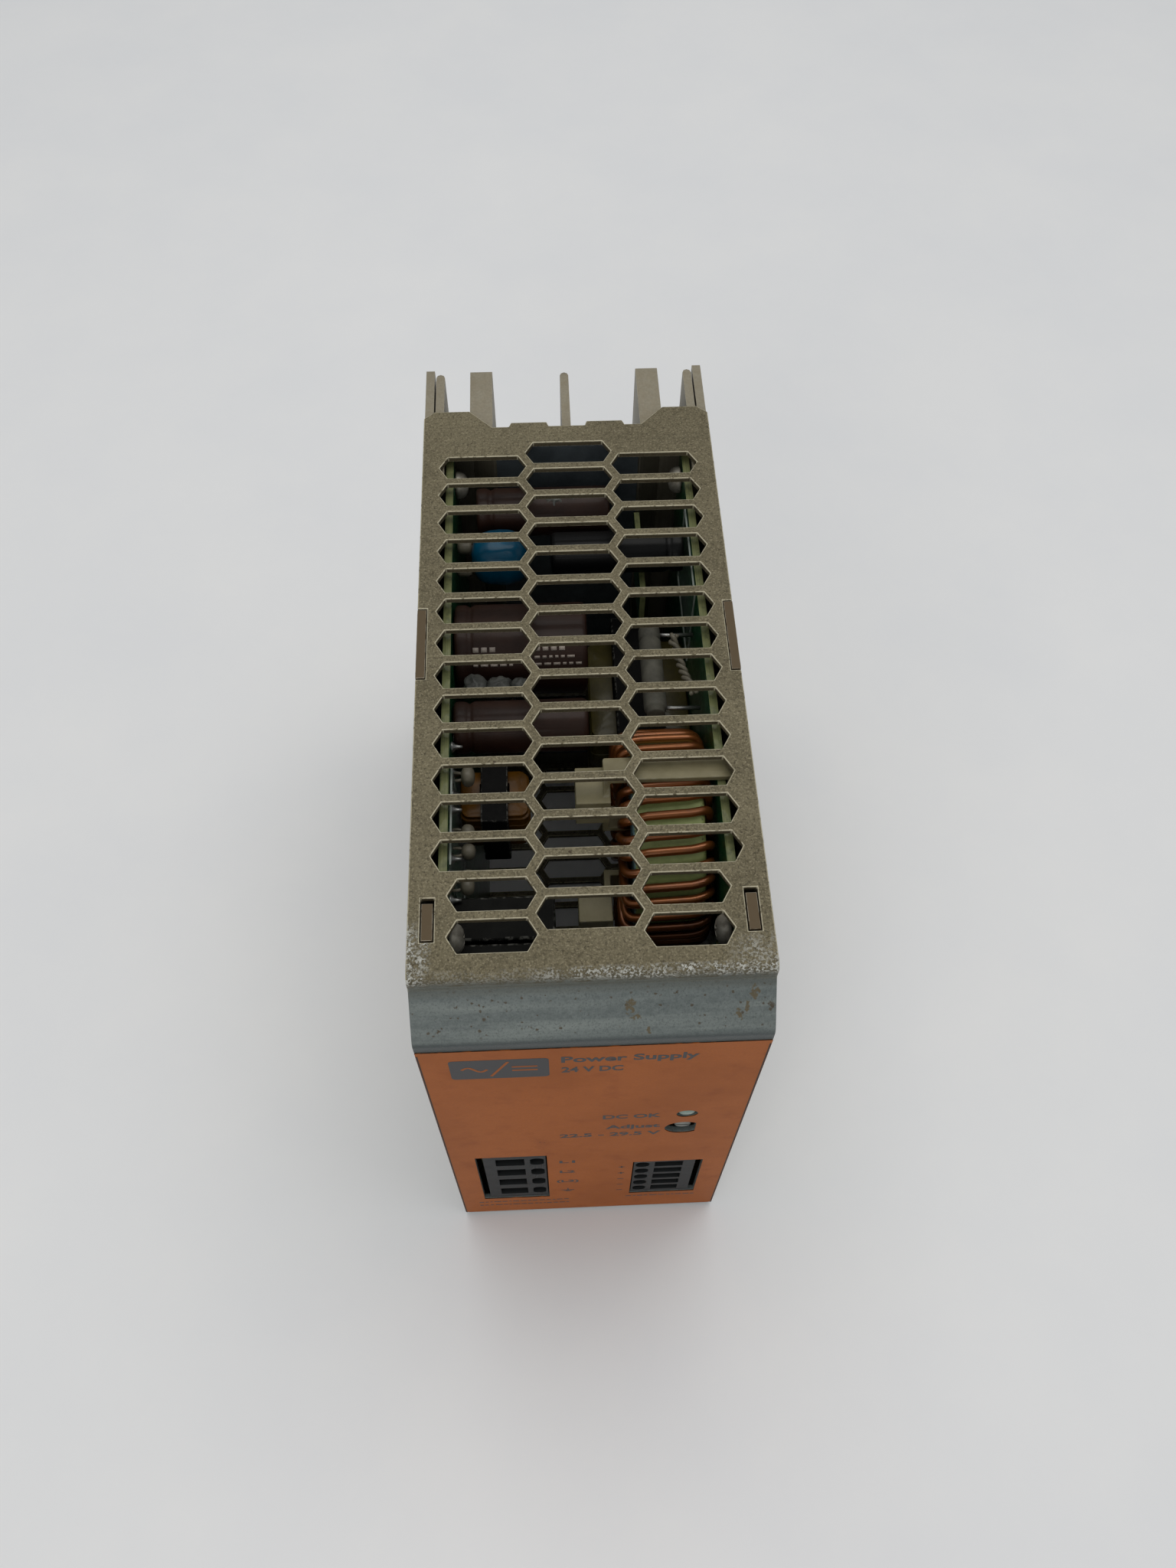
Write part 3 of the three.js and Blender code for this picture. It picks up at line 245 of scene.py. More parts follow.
def facing(tree, axis):
    """Which way the surface looks along x (0), y (1) or z (2), from -1 to 1."""
    normal = put(tree, "ShaderNodeTexCoord").outputs["Normal"]
    return put(tree, "ShaderNodeSeparateXYZ", {0: normal}).outputs[axis]


def clouds(tree, size_mm, **sockets):
    """Noise whose clouds are about size_mm across, placed on the piece."""
    scale = math_node(tree, "DIVIDE", 1000.0, size_mm)
    sockets = {"Vector": place_on_piece(tree), "Scale": scale, **sockets}
    return put(tree, "ShaderNodeTexNoise", sockets).outputs["Fac"]


def make_mottle():
    tree, given = new_group("mottle", Size=3.0, Low=0.35, High=0.65)
    cloud = clouds(tree, given["Size"], Detail=5.0, Roughness=0.62)
    return give_mask(tree, span(tree, cloud, given["Low"], given["High"]))


def make_grain():
    tree, given = new_group("grain", Stretch=(1.0, 1.0, 1.0), Low=0.35, High=0.65)
    pulled = put(tree, "ShaderNodeVectorMath", {0: place_on_piece(tree), 1: given["Stretch"]},
                 operation="MULTIPLY").outputs[0]
    streak = put(tree, "ShaderNodeTexNoise", {"Vector": pulled, "Scale": 1000.0, "Detail": 3.0})
    return give_mask(tree, span(tree, streak.outputs["Fac"], given["Low"], given["High"]))


def make_specks():
    tree, given = new_group("specks", Spacing=4.0, Radius=0.3, Share=0.5)
    place = place_on_piece(tree)
    wobble = put(tree, "ShaderNodeTexNoise", {"Vector": place, "Scale": 2600.0, "Detail": 2.0})
    ragged = times(tree, math_node(tree, "SUBTRACT", wobble.outputs["Fac"], 0.5), 0.4)
    per_metre = math_node(tree, "DIVIDE", 1000.0, given["Spacing"])
    cells = put(tree, "ShaderNodeTexVoronoi", {"Vector": place, "Scale": per_metre})
    distance = math_node(tree, "ADD", cells.outputs["Distance"], ragged)
    pick = put(tree, "ShaderNodeSeparateColor", {"Color": cells.outputs["Color"]})
    chosen = math_node(tree, "LESS_THAN", pick.outputs[0], given["Share"])
    reach = math_node(tree, "DIVIDE", given["Radius"], given["Spacing"])
    sized = times(tree, reach, math_node(tree, "ADD", pick.outputs[1], 0.4))
    inside = span(tree, distance, sized, times(tree, sized, 0.55))
    return give_mask(tree, times(tree, inside, chosen))


# The colour that finishes lay on the rounds: rubbing, and on the cover also a painted highlight.
def make_wear_and_highlight():
    tree, given = new_group("wear_and_highlight", Size=1.2, Amount=0.6)
    edge = put(tree, "ShaderNodeAttribute", attribute_name="edge").outputs["Fac"]
    cloud = clouds(tree, given["Size"], Detail=4.0)
    limit = math_node(tree, "SUBTRACT", 0.78, times(tree, given["Amount"], 0.5))
    rubbed = span(tree, cloud, limit, math_node(tree, "ADD", limit, 0.14))
    return give_mask(tree, times(tree, edge, rubbed))


def make_dust():
    tree, given = new_group("dust", Size=5.0, Amount=0.5)
    up = span(tree, facing(tree, 2), 0.15, 0.95)
    patchy = span(tree, clouds(tree, given["Size"], Detail=6.0, Roughness=0.7), 0.3, 0.75, 0.35, 1.0)
    return give_mask(tree, times(tree, up, patchy, given["Amount"]))


EFFECTS = {
    "mottle": make_mottle(), "grain": make_grain(), "specks": make_specks(),
    "wear_and_highlight": make_wear_and_highlight(), "dust": make_dust(),
}
print("effects:", ", ".join(EFFECTS))

# %% [markdown]
# ## The base recipe
#
# `Finish` starts a material with one Principled shader. Its methods lay one thing over another in
# the order a real surface gets them: the stock's own shade, then stains, then dust, then wear,
# which on the cover also carries a painted highlight.
# The roughness and the bump follow the same masks, so a stain is also a little duller. Values
# that are the same all over stay on the shader's own sockets.

# %% Finish builder
class Finish:
    def __init__(self, name, base, rough=0.5, metal=0.0, coat=0.0, coat_rough=0.1, sheen=0.5, **more):
        self.material = bpy.data.materials.new(name)
        self.material.use_nodes = True
        self.tree = self.material.node_tree
        self.shader = self.tree.nodes["Principled BSDF"]
        self.shade = base
        self.gloss = rough
        self.height = None
        plain = {"Metallic": metal, "Coat Weight": coat, "Coat Roughness": coat_rough,
                 "Specular IOR Level": sheen, **more}
        for key, value in plain.items():
            self.shader.inputs[key].default_value = value

    def over(self, mask, shade, rough=None, strength=1.0):
        """Lays a shade, and its roughness if given, over what is there."""
        if strength != 1.0:
            mask = times(self.tree, mask, strength)
        self.shade = mix(self.tree, mask, self.shade, shade)
        if rough is not None:
            self.gloss = put(self.tree, "ShaderNodeMix", {0: mask, 2: self.gloss, 3: rough}).outputs[0]

    def raised(self, mask, amount):
        """Adds to the height that the bump is taken from; amount is in millimetres."""
        part = times(self.tree, mask, amount)
        self.height = part if self.height is None else math_node(self.tree, "ADD", self.height, part)

    def effect(self, name, **sockets):
        return put(self.tree, "ShaderNodeGroup", sockets, node_tree=EFFECTS[name]).outputs["Mask"]

    def mottle(self, size, low, high):
        return self.effect("mottle", Size=size, Low=low, High=high)

    def specks(self, spacing, radius, share):
        return self.effect("specks", Spacing=spacing, Radius=radius, Share=share)

    def grain(self, stretch, low, high):
        return self.effect("grain", Stretch=stretch, Low=low, High=high)

    def wear_and_highlight(self, size, amount):
        return self.effect("wear_and_highlight", Size=size, Amount=amount)

    def dust(self, size, amount):
        return self.effect("dust", Size=size, Amount=amount)

    def done(self, bump=1.0):
        for key, value in (("Base Color", self.shade), ("Roughness", self.gloss)):
            if isinstance(value, bpy.types.NodeSocket):
                self.tree.links.new(value, self.shader.inputs[key])
            else:
                self.shader.inputs[key].default_value = value
        if self.height is not None:
            relief = put(self.tree, "ShaderNodeBump",
                         {"Height": self.height, "Strength": bump, "Distance": MM})
            self.tree.links.new(relief.outputs["Normal"], self.shader.inputs["Normal"])
        return self.material


# %% [markdown]
# ## The cover's sheet
#
# The cover is galvanised steel that has gone dull and dusty: a finely mottled tan grey with brown
# specks, small scratches and bright edges on the bars between the vents, partly rubbed metal and
# partly painted highlight. White zinc corrosion has grown along the front edge, most of all on its
# right half and at the left corner. The slope below it kept its blue-grey, with rust spots and a
# band of painted shade where it rolls into the front. All of these depend on where a point lies,
# so masks are cut from the drawing coordinates.

# %% Galvanised cover finish
def drawing_place(tree):
    """x, y, z of the shaded point in drawing millimetres."""
    split = put(tree, "ShaderNodeSeparateXYZ", {0: place_on_piece(tree)})
    x, y, z = (times(tree, split.outputs[i], 1000.0) for i in range(3))
    return x, math_node(tree, "SUBTRACT", y, LABEL_Y / MM), z


def window(tree, value, low, high, soft):
    """1 between low and high, fading over soft at both ends."""
    rise = span(tree, value, low - soft, low)
    return times(tree, rise, span(tree, value, high, high + soft, 1.0, 0.0))


def spot(tree, x, z, centre, size, cloud):
    """A ragged patch on the slope, in drawing x and z."""
    distance = cloud
    for value, middle, reach in zip((x, z), centre, size):
        off = math_node(tree, "DIVIDE", math_node(tree, "SUBTRACT", value, middle), reach)
        distance = math_node(tree, "ADD", distance, times(tree, off, off))
    return span(tree, distance, 1.0, 0.55)


RUST_SPOTS = (((6.0, 122.9), (1.0, 1.4)), ((6.8, 121.6), (1.0, 0.8)), ((9.0, 119.6), (0.5, 0.7)),
              ((24.0, 121.4), (0.9, 1.0)), ((25.2, 122.6), (0.7, 1.3)), ((26.4, 124.2), (0.9, 1.2)))


def slope_shade(f, x, z):
    """The slope above the label: blue grey, with a band of painted shade at the roll below and rust spots
    above.
    """
    tree = f.tree
    # painted shade: a darker band across the slope where it rolls over into the front
    painted_roll_shade = times(tree, window(tree, z, HEIGHT - 13.9, HEIGHT - 11.8, 0.8), 0.75)
    groove = times(tree, window(tree, z, HEIGHT - 4.6, HEIGHT - 3.4, 0.7), 0.5)
    upper = window(tree, z, HEIGHT - 10.0, HEIGHT - 5.0, 1.2)
    blue = colour(106, 113, 111)
    for mask, shade in ((f.mottle(1.1, 0.35, 0.7), colour(88, 96, 94)),
                        (f.grain((0.03, 0.6, 0.6), 0.4, 0.7), colour(120, 127, 123)),
                        (f.mottle(0.35, 0.5, 0.75), colour(76, 83, 81)),
                        (painted_roll_shade, colour(40, 49, 50)),
                        (groove, colour(78, 80, 72)),
                        (times(tree, f.specks(1.2, 0.27, 0.6), upper, 0.85), colour(68, 56, 36)),
                        (times(tree, f.specks(3.2, 0.55, 0.4), upper, 0.9), colour(68, 56, 36))):
        blue = mix(tree, mask, blue, shade)
    sockets = {"Vector": place_on_piece(tree), "Scale": 1500.0, "Detail": 5.0}
    ragged = put(tree, "ShaderNodeTexNoise", sockets).outputs["Fac"]
    cloud = times(tree, math_node(tree, "SUBTRACT", ragged, 0.42), 4.6)
    for centre, size in RUST_SPOTS:
        rust = times(tree, spot(tree, x, z, centre, size, cloud), 0.9)
        blue = mix(tree, rust, blue, colour(90, 78, 52))
    return blue


def corrosion(f, x, y, z):
    """Where white powder has grown: along the front roll, and at the two front corners."""
    tree = f.tree
    roll = times(tree, window(tree, y, 6.8, 8.0, 0.7), span(tree, x, -14.0, 6.0, 0.3, 1.0))
    left = times(tree, span(tree, x, -25.8, -27.2), window(tree, y, 7, 15, 2.5))
    right = times(tree, span(tree, x, 21.0, 27.0), window(tree, y, 8, 12, 2), 0.6)
    reach = math_node(tree, "MAXIMUM", math_node(tree, "MAXIMUM", roll, left), right)
    top = span(tree, z, HEIGHT - 2.4, HEIGHT - 1.2)
    return times(tree, reach, f.mottle(3.2, 0.34, 0.55), f.mottle(0.42, 0.47, 0.55), top)


def cover_finish():
    f = Finish("galvanised_cover", colour(109, 100, 75), rough=0.6, metal=0.2)
    tree = f.tree
    x, y, z = drawing_place(tree)
    f.over(f.mottle(1.4, 0.32, 0.7), colour(86, 78, 55), 0.7)
    f.over(f.mottle(16.0, 0.42, 0.66), colour(121, 112, 85), 0.55, 0.55)
    f.over(f.mottle(0.32, 0.5, 0.68), colour(150, 140, 112), 0.5, 0.75)
    f.over(f.mottle(0.5, 0.5, 0.66), colour(56, 48, 31), 0.75, 0.75)
    f.over(f.grain((0.02, 0.5, 0.5), 0.55, 0.72), colour(84, 78, 58), None, 0.2)
    f.over(f.specks(4.0, 0.3, 0.35), colour(62, 48, 32), 0.8, 0.85)
    f.over(f.specks(9.0, 0.55, 0.3), colour(150, 146, 128), 0.5, 0.5)
    cut_face = span(tree, math_node(tree, "ABSOLUTE", facing(tree, 2)), 0.35, 0.15)
    vent_walls = times(tree, cut_face, span(tree, y, 9.0, 10.0), span(tree, z, HEIGHT - 2.4, HEIGHT - 2.0))
    f.over(vent_walls, colour(70, 61, 43), 0.75, 0.7)
    # painted highlight: the bright rims of the vent bars are partly rubbed zinc and partly a highlight
    # painted into the colour
    f.over(f.wear_and_highlight(0.8, 0.92), colour(196, 188, 162), 0.4, 0.75)
    slope = times(tree, span(tree, y, 7.4, 6.7), span(tree, z, HEIGHT - 0.4, HEIGHT - 1.9))
    f.over(slope, slope_shade(f, x, z), 0.42)
    brown_edge = times(tree, window(tree, z, HEIGHT - 2.4, HEIGHT - 0.9, 0.6), span(tree, y, 8.0, 7.0),
                       f.mottle(1.6, 0.35, 0.6))
    f.over(brown_edge, colour(84, 76, 54), 0.75, 0.8)
    white = corrosion(f, x, y, z)
    f.over(white, colour(206, 206, 198), 0.9, 0.9)
    f.raised(f.mottle(0.4, 0.3, 0.7), 0.05)
    f.raised(f.mottle(6.0, 0.2, 0.8), 0.1)
    f.raised(white, 0.12)
    return f.done(0.8)


# %% [markdown]
# ## Aluminium, plated steel and springs
#
# The profile is extruded, so its streaks run up and down, and its sawn ends have gone brownish.
# Screws, bracket and latch are zinc plated: brighter, with a faint yellow cast. The springs are
# bare spring steel.

# %% Metal finishes
def aluminium_finish():
    f = Finish("extruded_aluminium", colour(150, 144, 127), rough=0.5, metal=0.5)
    f.over(f.grain((2.2, 2.2, 0.02), 0.3, 0.7), colour(138, 132, 116), 0.56)
    f.over(f.mottle(11.0, 0.45, 0.75), colour(124, 115, 95), 0.62, 0.4)
    f.over(f.specks(7.0, 0.5, 0.3), colour(92, 74, 52), 0.8, 0.6)
    x, y, z = drawing_place(f.tree)
    sawn = span(f.tree, z, HEIGHT - 2.2, HEIGHT - 0.9)
    f.over(times(f.tree, sawn, f.mottle(1.5, 0.2, 0.6)), colour(134, 120, 94), 0.7, 0.6)
    outer_walls = span(f.tree, math_node(f.tree, "ABSOLUTE", x), 25.0, 26.0)
    brown_ends = times(f.tree, sawn, outer_walls, span(f.tree, y, 122.0, 118.0))
    f.over(brown_ends, colour(92, 76, 54), 0.75, 0.9)
    f.over(f.wear_and_highlight(1.5, 0.8), colour(196, 190, 174), 0.35, 0.7)
    f.raised(f.grain((2.2, 2.2, 0.02), 0.3, 0.7), 0.02)
    return f.done(0.6)


def plated_finish(name, base, stain, rough, dust, metal=0.9):
    f = Finish(name, colour(*base), rough=rough, metal=metal)
    stain = colour(*stain)
    f.over(f.mottle(2.4, 0.35, 0.7), stain, rough + 0.15)
    f.over(f.grain((0.6, 0.04, 0.6), 0.5, 0.7), stain, None, 0.25)
    f.over(f.wear_and_highlight(0.8, 0.7), colour(214, 210, 200), rough, 0.7)
    f.over(f.dust(1.5, dust), colour(128, 122, 108), 0.85)
    f.raised(f.mottle(0.7, 0.3, 0.7), 0.02)
    return f.done(0.5)


# %% [markdown]
# ## The printed label
#
# The front carries a thin polyester label, printed orange with a soft matt surface. It has faint
# brownish stains, a slight fading and a few dark dots. The print itself comes later, as its own
# thin layer of ink.

# %% Label and ink finishes
def label_finish():
    f = Finish("orange_film", colour(162, 87, 22), rough=0.55, coat=0.03, coat_rough=0.4, sheen=0.18)
    f.over(f.mottle(26.0, 0.42, 0.62), colour(147, 77, 16), 0.58, 0.8)
    f.over(f.mottle(7.0, 0.54, 0.74), colour(126, 59, 14), 0.6, 0.5)
    f.over(f.mottle(0.5, 0.4, 0.8), colour(140, 73, 15), None, 0.6)
    f.over(f.specks(11.0, 0.34, 0.35), colour(58, 32, 22), 0.6, 0.85)
    f.over(f.wear_and_highlight(2.0, 0.9), colour(52, 36, 28), 0.6, 0.9)
    f.raised(f.mottle(0.35, 0.3, 0.7), 0.012)
    return f.done(0.5)


def ink_finish():
    f = Finish("grey_ink", colour(34, 34, 37), rough=0.5)
    f.over(f.mottle(0.8, 0.45, 0.75), colour(52, 48, 46), 0.55, 0.7)
    return f.done()


# %% [markdown]
# ## Moulded plastics, sleeves and coatings
#
# These differ in shade, gloss and how much dust they hold, but are built alike: a slightly
# uneven base, a paler rub on the edges, dust on the faces that look up, and a fine texture.

# %% Plastic finishes
def plastic(name, base, other, rough, dust=0.3, coat=0.0, cloud=2.5, sheen=0.3, **more):
    f = Finish(name, colour(*base), rough=rough, coat=coat, sheen=sheen, **more)
    f.over(f.mottle(cloud, 0.3, 0.75), colour(*other), rough + 0.1)
    f.over(f.wear_and_highlight(0.9, 0.6), mix(f.tree, 0.25, f.shade, colour(190, 188, 178)), None, 0.7)
    f.over(f.dust(1.2, dust), colour(92, 87, 74), 0.85)
    f.raised(f.mottle(0.4, 0.3, 0.7), 0.02)
    return f.done(0.6)


def clear_finish():
    """Clear film: hardly seen through its faces, milky at its cut edges."""
    f = Finish("clear_film", colour(150, 158, 150), rough=0.25)
    tree = f.tree
    edge = span(tree, math_node(tree, "ABSOLUTE", facing(tree, 0)), 0.9, 0.7)
    milky = math_node(tree, "ADD", times(tree, edge, 0.5), times(tree, f.mottle(4.0, 0.3, 0.8), 0.1))
    tree.links.new(math_node(tree, "ADD", milky, 0.04), f.shader.inputs["Alpha"])
    return f.done()


def terminal_finish():
    """Grey moulding; its wire funnels are deep, so hardly any light comes back out of them."""
    f = Finish("terminal_grey", colour(36, 38, 38), rough=0.55, sheen=0.25)
    f.over(f.mottle(2.5, 0.3, 0.75), colour(32, 34, 35), 0.6)
    f.over(f.wear_and_highlight(0.9, 0.6), colour(74, 76, 74), None, 0.6)
    x, y, z = drawing_place(f.tree)
    f.over(span(f.tree, y, 0.7, 1.8), colour(8, 8, 9), 0.8, 0.92)
    f.raised(f.mottle(0.4, 0.3, 0.7), 0.02)
    return f.done(0.6)


# %% [markdown]
# ## Circuit board
#
# A board is glass cloth in resin: olive at its cut edges, where the layers show, and dark green
# under its solder mask. Copper tracks lie under the mask as slightly lighter, raised lines. The
# mask is chosen by where a face looks: the big faces look sideways, the cut edges don't.

# %% Board finish
def board_finish():
    f = Finish("circuit_board", colour(8, 66, 34), rough=0.34, coat=0.2)
    tree = f.tree
    cells = put(tree, "ShaderNodeTexVoronoi", {"Vector": place_on_piece(tree), "Scale": 260.0},
                feature="DISTANCE_TO_EDGE", distance="EUCLIDEAN")
    tracks = span(tree, cells.outputs["Distance"], 0.10, 0.07)
    f.over(tracks, colour(14, 84, 44), 0.3, 0.8)
    f.over(f.specks(2.6, 0.55, 0.3), colour(112, 114, 104), 0.35, 0.9)
    f.over(f.mottle(3.0, 0.4, 0.7), colour(10, 46, 30), 0.42, 0.6)
    cut = span(tree, math_node(tree, "ABSOLUTE", facing(tree, 0)), 0.75, 0.55)
    layers = f.grain((5.0, 0.05, 0.05), 0.35, 0.65)
    edge = mix(tree, layers, colour(118, 120, 76), colour(96, 102, 60))
    edge = mix(tree, f.mottle(1.4, 0.5, 0.75), edge, colour(72, 78, 46))
    f.over(cut, edge, 0.75)
    f.raised(tracks, 0.035)
    return f.done(0.7)


# %% [markdown]
# ## Choke: enamelled wire and painted core
#
# Heavy copper wire under a brown enamel shines like lacquer. Every turn was bent by hand, so
# each has its own shade, kept on the mesh as the value `turn`. The ring inside is iron powder
# with a yellow-green paint, and one face painted pale blue, as such cores are marked.

# %% Choke finishes
def copper_finish():
    f = Finish("enamelled_copper", colour(144, 82, 32), rough=0.28, metal=0.65, coat=0.4, coat_rough=0.1)
    turn = put(f.tree, "ShaderNodeAttribute", attribute_name="turn").outputs["Fac"]
    f.over(turn, colour(122, 68, 28), 0.34)
    f.over(f.mottle(3.0, 0.5, 0.8), colour(88, 46, 28), 0.45, 0.5)
    f.over(f.specks(6.0, 0.5, 0.3), colour(48, 28, 18), 0.6, 0.5)
    f.over(f.dust(1.6, 0.1), colour(110, 92, 70), 0.7)
    return f.done()


def core_finish():
    f = Finish("painted_core", colour(158, 170, 104), rough=0.5)
    f.over(span(f.tree, facing(f.tree, 0), -0.45, -0.75), colour(122, 158, 170), 0.5)
    f.over(f.mottle(1.6, 0.4, 0.7), colour(126, 142, 82), 0.6, 0.5)
    f.over(f.wear_and_highlight(1.0, 0.5), colour(60, 62, 54), 0.7, 0.8)
    f.raised(f.mottle(0.9, 0.2, 0.8), 0.06)
    return f.done(0.7)


# %% [markdown]
# ## One finish for each material slot
#
# The record lists the slots that a scene can repaint. Each gets one finish here, by name. Plated
# steels share one recipe and so do plastics, so these are lists of numbers: two shades, how rough,
# how dusty, how much lacquer, how wide the clouds are and how much it shines.

# %% Finishes by slot
FINISHES = {
    "cover_steel": cover_finish(), "label_film": label_finish(), "profile_aluminium": aluminium_finish(),
    "board_laminate": board_finish(), "clear_sheet": clear_finish(), "terminal_plastic": terminal_finish(),
    "core_coating": core_finish(), "enamelled_copper": copper_finish(),
}
for slot, recipe in {
        "screw_steel": ("screw_plating", (176, 172, 160), (116, 110, 98), 0.36, 0.3, 0.5),
        "bracket_steel": ("bracket_plating", (172, 168, 154), (134, 128, 110), 0.36, 0.2),
        "spring_steel": ("spring_wire", (150, 148, 140), (100, 98, 90), 0.3, 0.1)}.items():
    FINISHES[slot] = plated_finish(*recipe)
# Painted shade: the parts inside the case get little light, and their colours are set darker than their own
# to stand for it; the grey cases of the line capacitors are almost black, and the brown sleeves, the amber
# and yellow tapes and the resistor are darkened as well.
for slot, recipe in {
        "dark_sheet": ("dark_film", (90, 98, 102), (66, 72, 76), 0.3, 0.25, 0.3, 6.0),
        "led_lens": ("led_lens", (126, 146, 134), (104, 126, 114), 0.25, 0.1, 0.4),
        "trimmer_plastic": ("trimmer_plastic", (92, 97, 94), (72, 77, 75), 0.45, 0.2),
        "trimmer_rotor": ("trimmer_rotor", (132, 134, 128), (104, 107, 102), 0.4, 0.2),
        "brown_sleeve": ("brown_sleeve", (46, 26, 18), (34, 19, 14), 0.42, 0.08, 0.05, 5.0, 0.2),
        "black_sleeve": ("black_sleeve", (9, 10, 11), (6, 7, 8), 0.4, 0.03, 0.05, 5.0, 0.15),
        "blue_epoxy": ("blue_epoxy", (0, 72, 98), (0, 52, 74), 0.3, 0.0, 0.1, 4.0, 0.2),
        "grey_case": ("grey_case", (14, 15, 12), (10, 10, 9), 0.6, 0.03, 0.0, 2.5, 0.12),
        "ferrite": ("ferrite", (11, 11, 11), (8, 8, 8), 0.75, 0.03, 0.0, 0.9, 0.15),
        "amber_tape": ("amber_tape", (94, 59, 4), (68, 43, 3), 0.34, 0.0, 0.08, 2.5, 0.15),
        "yellow_tape": ("yellow_tape", (74, 66, 18), (54, 48, 12), 0.36, 0.1, 0.15),
        "resistor_body": ("resistor_ceramic", (92, 90, 80), (66, 65, 58), 0.6, 0.15),
        "black_epoxy": ("black_epoxy", (18, 18, 19), (13, 13, 14), 0.5, 0.1)}.items():
    FINISHES[slot] = plastic(*recipe)
FINISHES["nylon"] = plastic("natural_nylon", (156, 147, 112), (132, 123, 90), 0.42, 0.2, 0.1, 4.0, Alpha=0.72)

INK = ink_finish()
EDGE_INK = plastic("label_rim", (44, 34, 28), (60, 44, 34), 0.6, 0.0)
PALE_INK = plastic("pale_ink", (172, 160, 150), (150, 140, 130), 0.5, 0.2)
SILICONE = plastic("grey_silicone", (78, 80, 76), (58, 60, 58), 0.4, 0.2, 0.2)
CREAM = plastic("cream_coating", (116, 110, 94), (88, 84, 72), 0.45, 0.2, 0.15)
SOLDER = plated_finish("solder", (170, 170, 166), (110, 110, 106), 0.25, 0.05)
CAN_END = plated_finish("can_aluminium", (160, 160, 158), (116, 116, 114), 0.35, 0.2)
print(len(FINISHES), "slot finishes")

# %% [markdown]
# ## Putting a piece in place
#
# Every piece is a mesh whose points are already where they belong, so placing it means three
# things: it rides on the CAD body that carries it, the CAD nodes it stands for are hidden, and it
# takes the finish of its material slot.

# %% Placing pieces
def add_piece(name, mesh, body="case", stands_for=(), slot=None, finishes=None):
    piece = bpy.data.objects.new(name, mesh)
    bpy.context.scene.collection.objects.link(piece)
    for finish in finishes or [FINISHES[slot]]:
        mesh.materials.append(finish)
    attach(piece, body)
    if stands_for:
        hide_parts(*stands_for)
    return piece


def mesh_from(bm, name, smooth=True):
    bmesh.ops.recalc_face_normals(bm, faces=bm.faces)
    for face in bm.faces:
        face.smooth = smooth
    mesh = bpy.data.meshes.new(name)
    bm.to_mesh(mesh)
    bm.free()
    return mesh


def stand_in(node, bm, slot, finishes=None, crease=None):
    """A piece that takes a CAD node's place; edges that turn more than `crease` degrees stay sharp."""
    piece = add_piece(node + "_finished", mesh_from(bm, node + "_mesh"), frame["nodes"][node]["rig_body"],
                      [node], slot, finishes)
    if crease:
        piece.data.set_sharp_from_angle(angle=math.radians(crease))
    return piece


def extra(name, bm, finish, smooth=True):
    """A piece that the CAD leaves out and that rides on the case."""
    return add_piece(name, mesh_from(bm, name + "_mesh", smooth), finishes=[finish])


# %% [markdown]
# ## Rounding what was cut, punched or moulded
#
# Nothing real has a perfectly sharp edge. `rounded_copy` takes a CAD node's faces, joins the flat
# ones, and bevels every edge that turns more than a given angle. The new faces are marked with
# the value `edge`, which the wear_and_highlight effect reads, so that rubbing, and on the cover a
# painted highlight, shows on the rounds alone. A very short edge would hold every other bevel back,
# so three of the pieces leave such edges out.

# %% Rounded copies
def rounded_copy(node, radius_mm, segments=2, angle=24, reshape=None, full=False):
    """A CAD node with rounded edges; full leaves out the edges that are too short for the radius."""
    bm = bmesh.new()
    bm.from_mesh(frame["nodes"][node].data)
    for vert in bm.verts if reshape else ():
        x, y, z = vert.co / MM
        vert.co = at(*reshape(x, y - LABEL_Y / MM, z))
    edge_mark = bm.loops.layers.float.new("edge")
    bmesh.ops.remove_doubles(bm, verts=bm.verts, dist=2e-6)
    bmesh.ops.dissolve_limit(bm, angle_limit=math.radians(0.5), verts=bm.verts, edges=bm.edges)
    sharp = [e for e in bm.edges if e.is_manifold and e.calc_face_angle(0) > math.radians(angle)]
    if full:
        crowded = {v for e in bm.edges if e.calc_length() < 1.3 * radius_mm * MM for v in e.verts}
        sharp = [e for e in sharp if not crowded & set(e.verts)]
    made = bmesh.ops.bevel(bm, geom=sharp, offset=radius_mm * MM, segments=segments, profile=0.5,
                           affect="EDGES", clamp_overlap=not full)
    for face in made["faces"]:
        for loop in face.loops:
            loop[edge_mark] = 1.0
    bmesh.ops.triangulate(bm, faces=[f for f in bm.faces if len(f.verts) > 4])
    return bm


def dress(node, slot, *rounding, **more):
    """Rounds a CAD node; its big flat faces stay flat while the small rounds beside them shade smoothly."""
    piece = stand_in(node, rounded_copy(node, *rounding, **more), slot)
    shading = piece.modifiers.new("even_shading", "WEIGHTED_NORMAL")
    shading.mode = "FACE_AREA"
    shading.keep_sharp = True


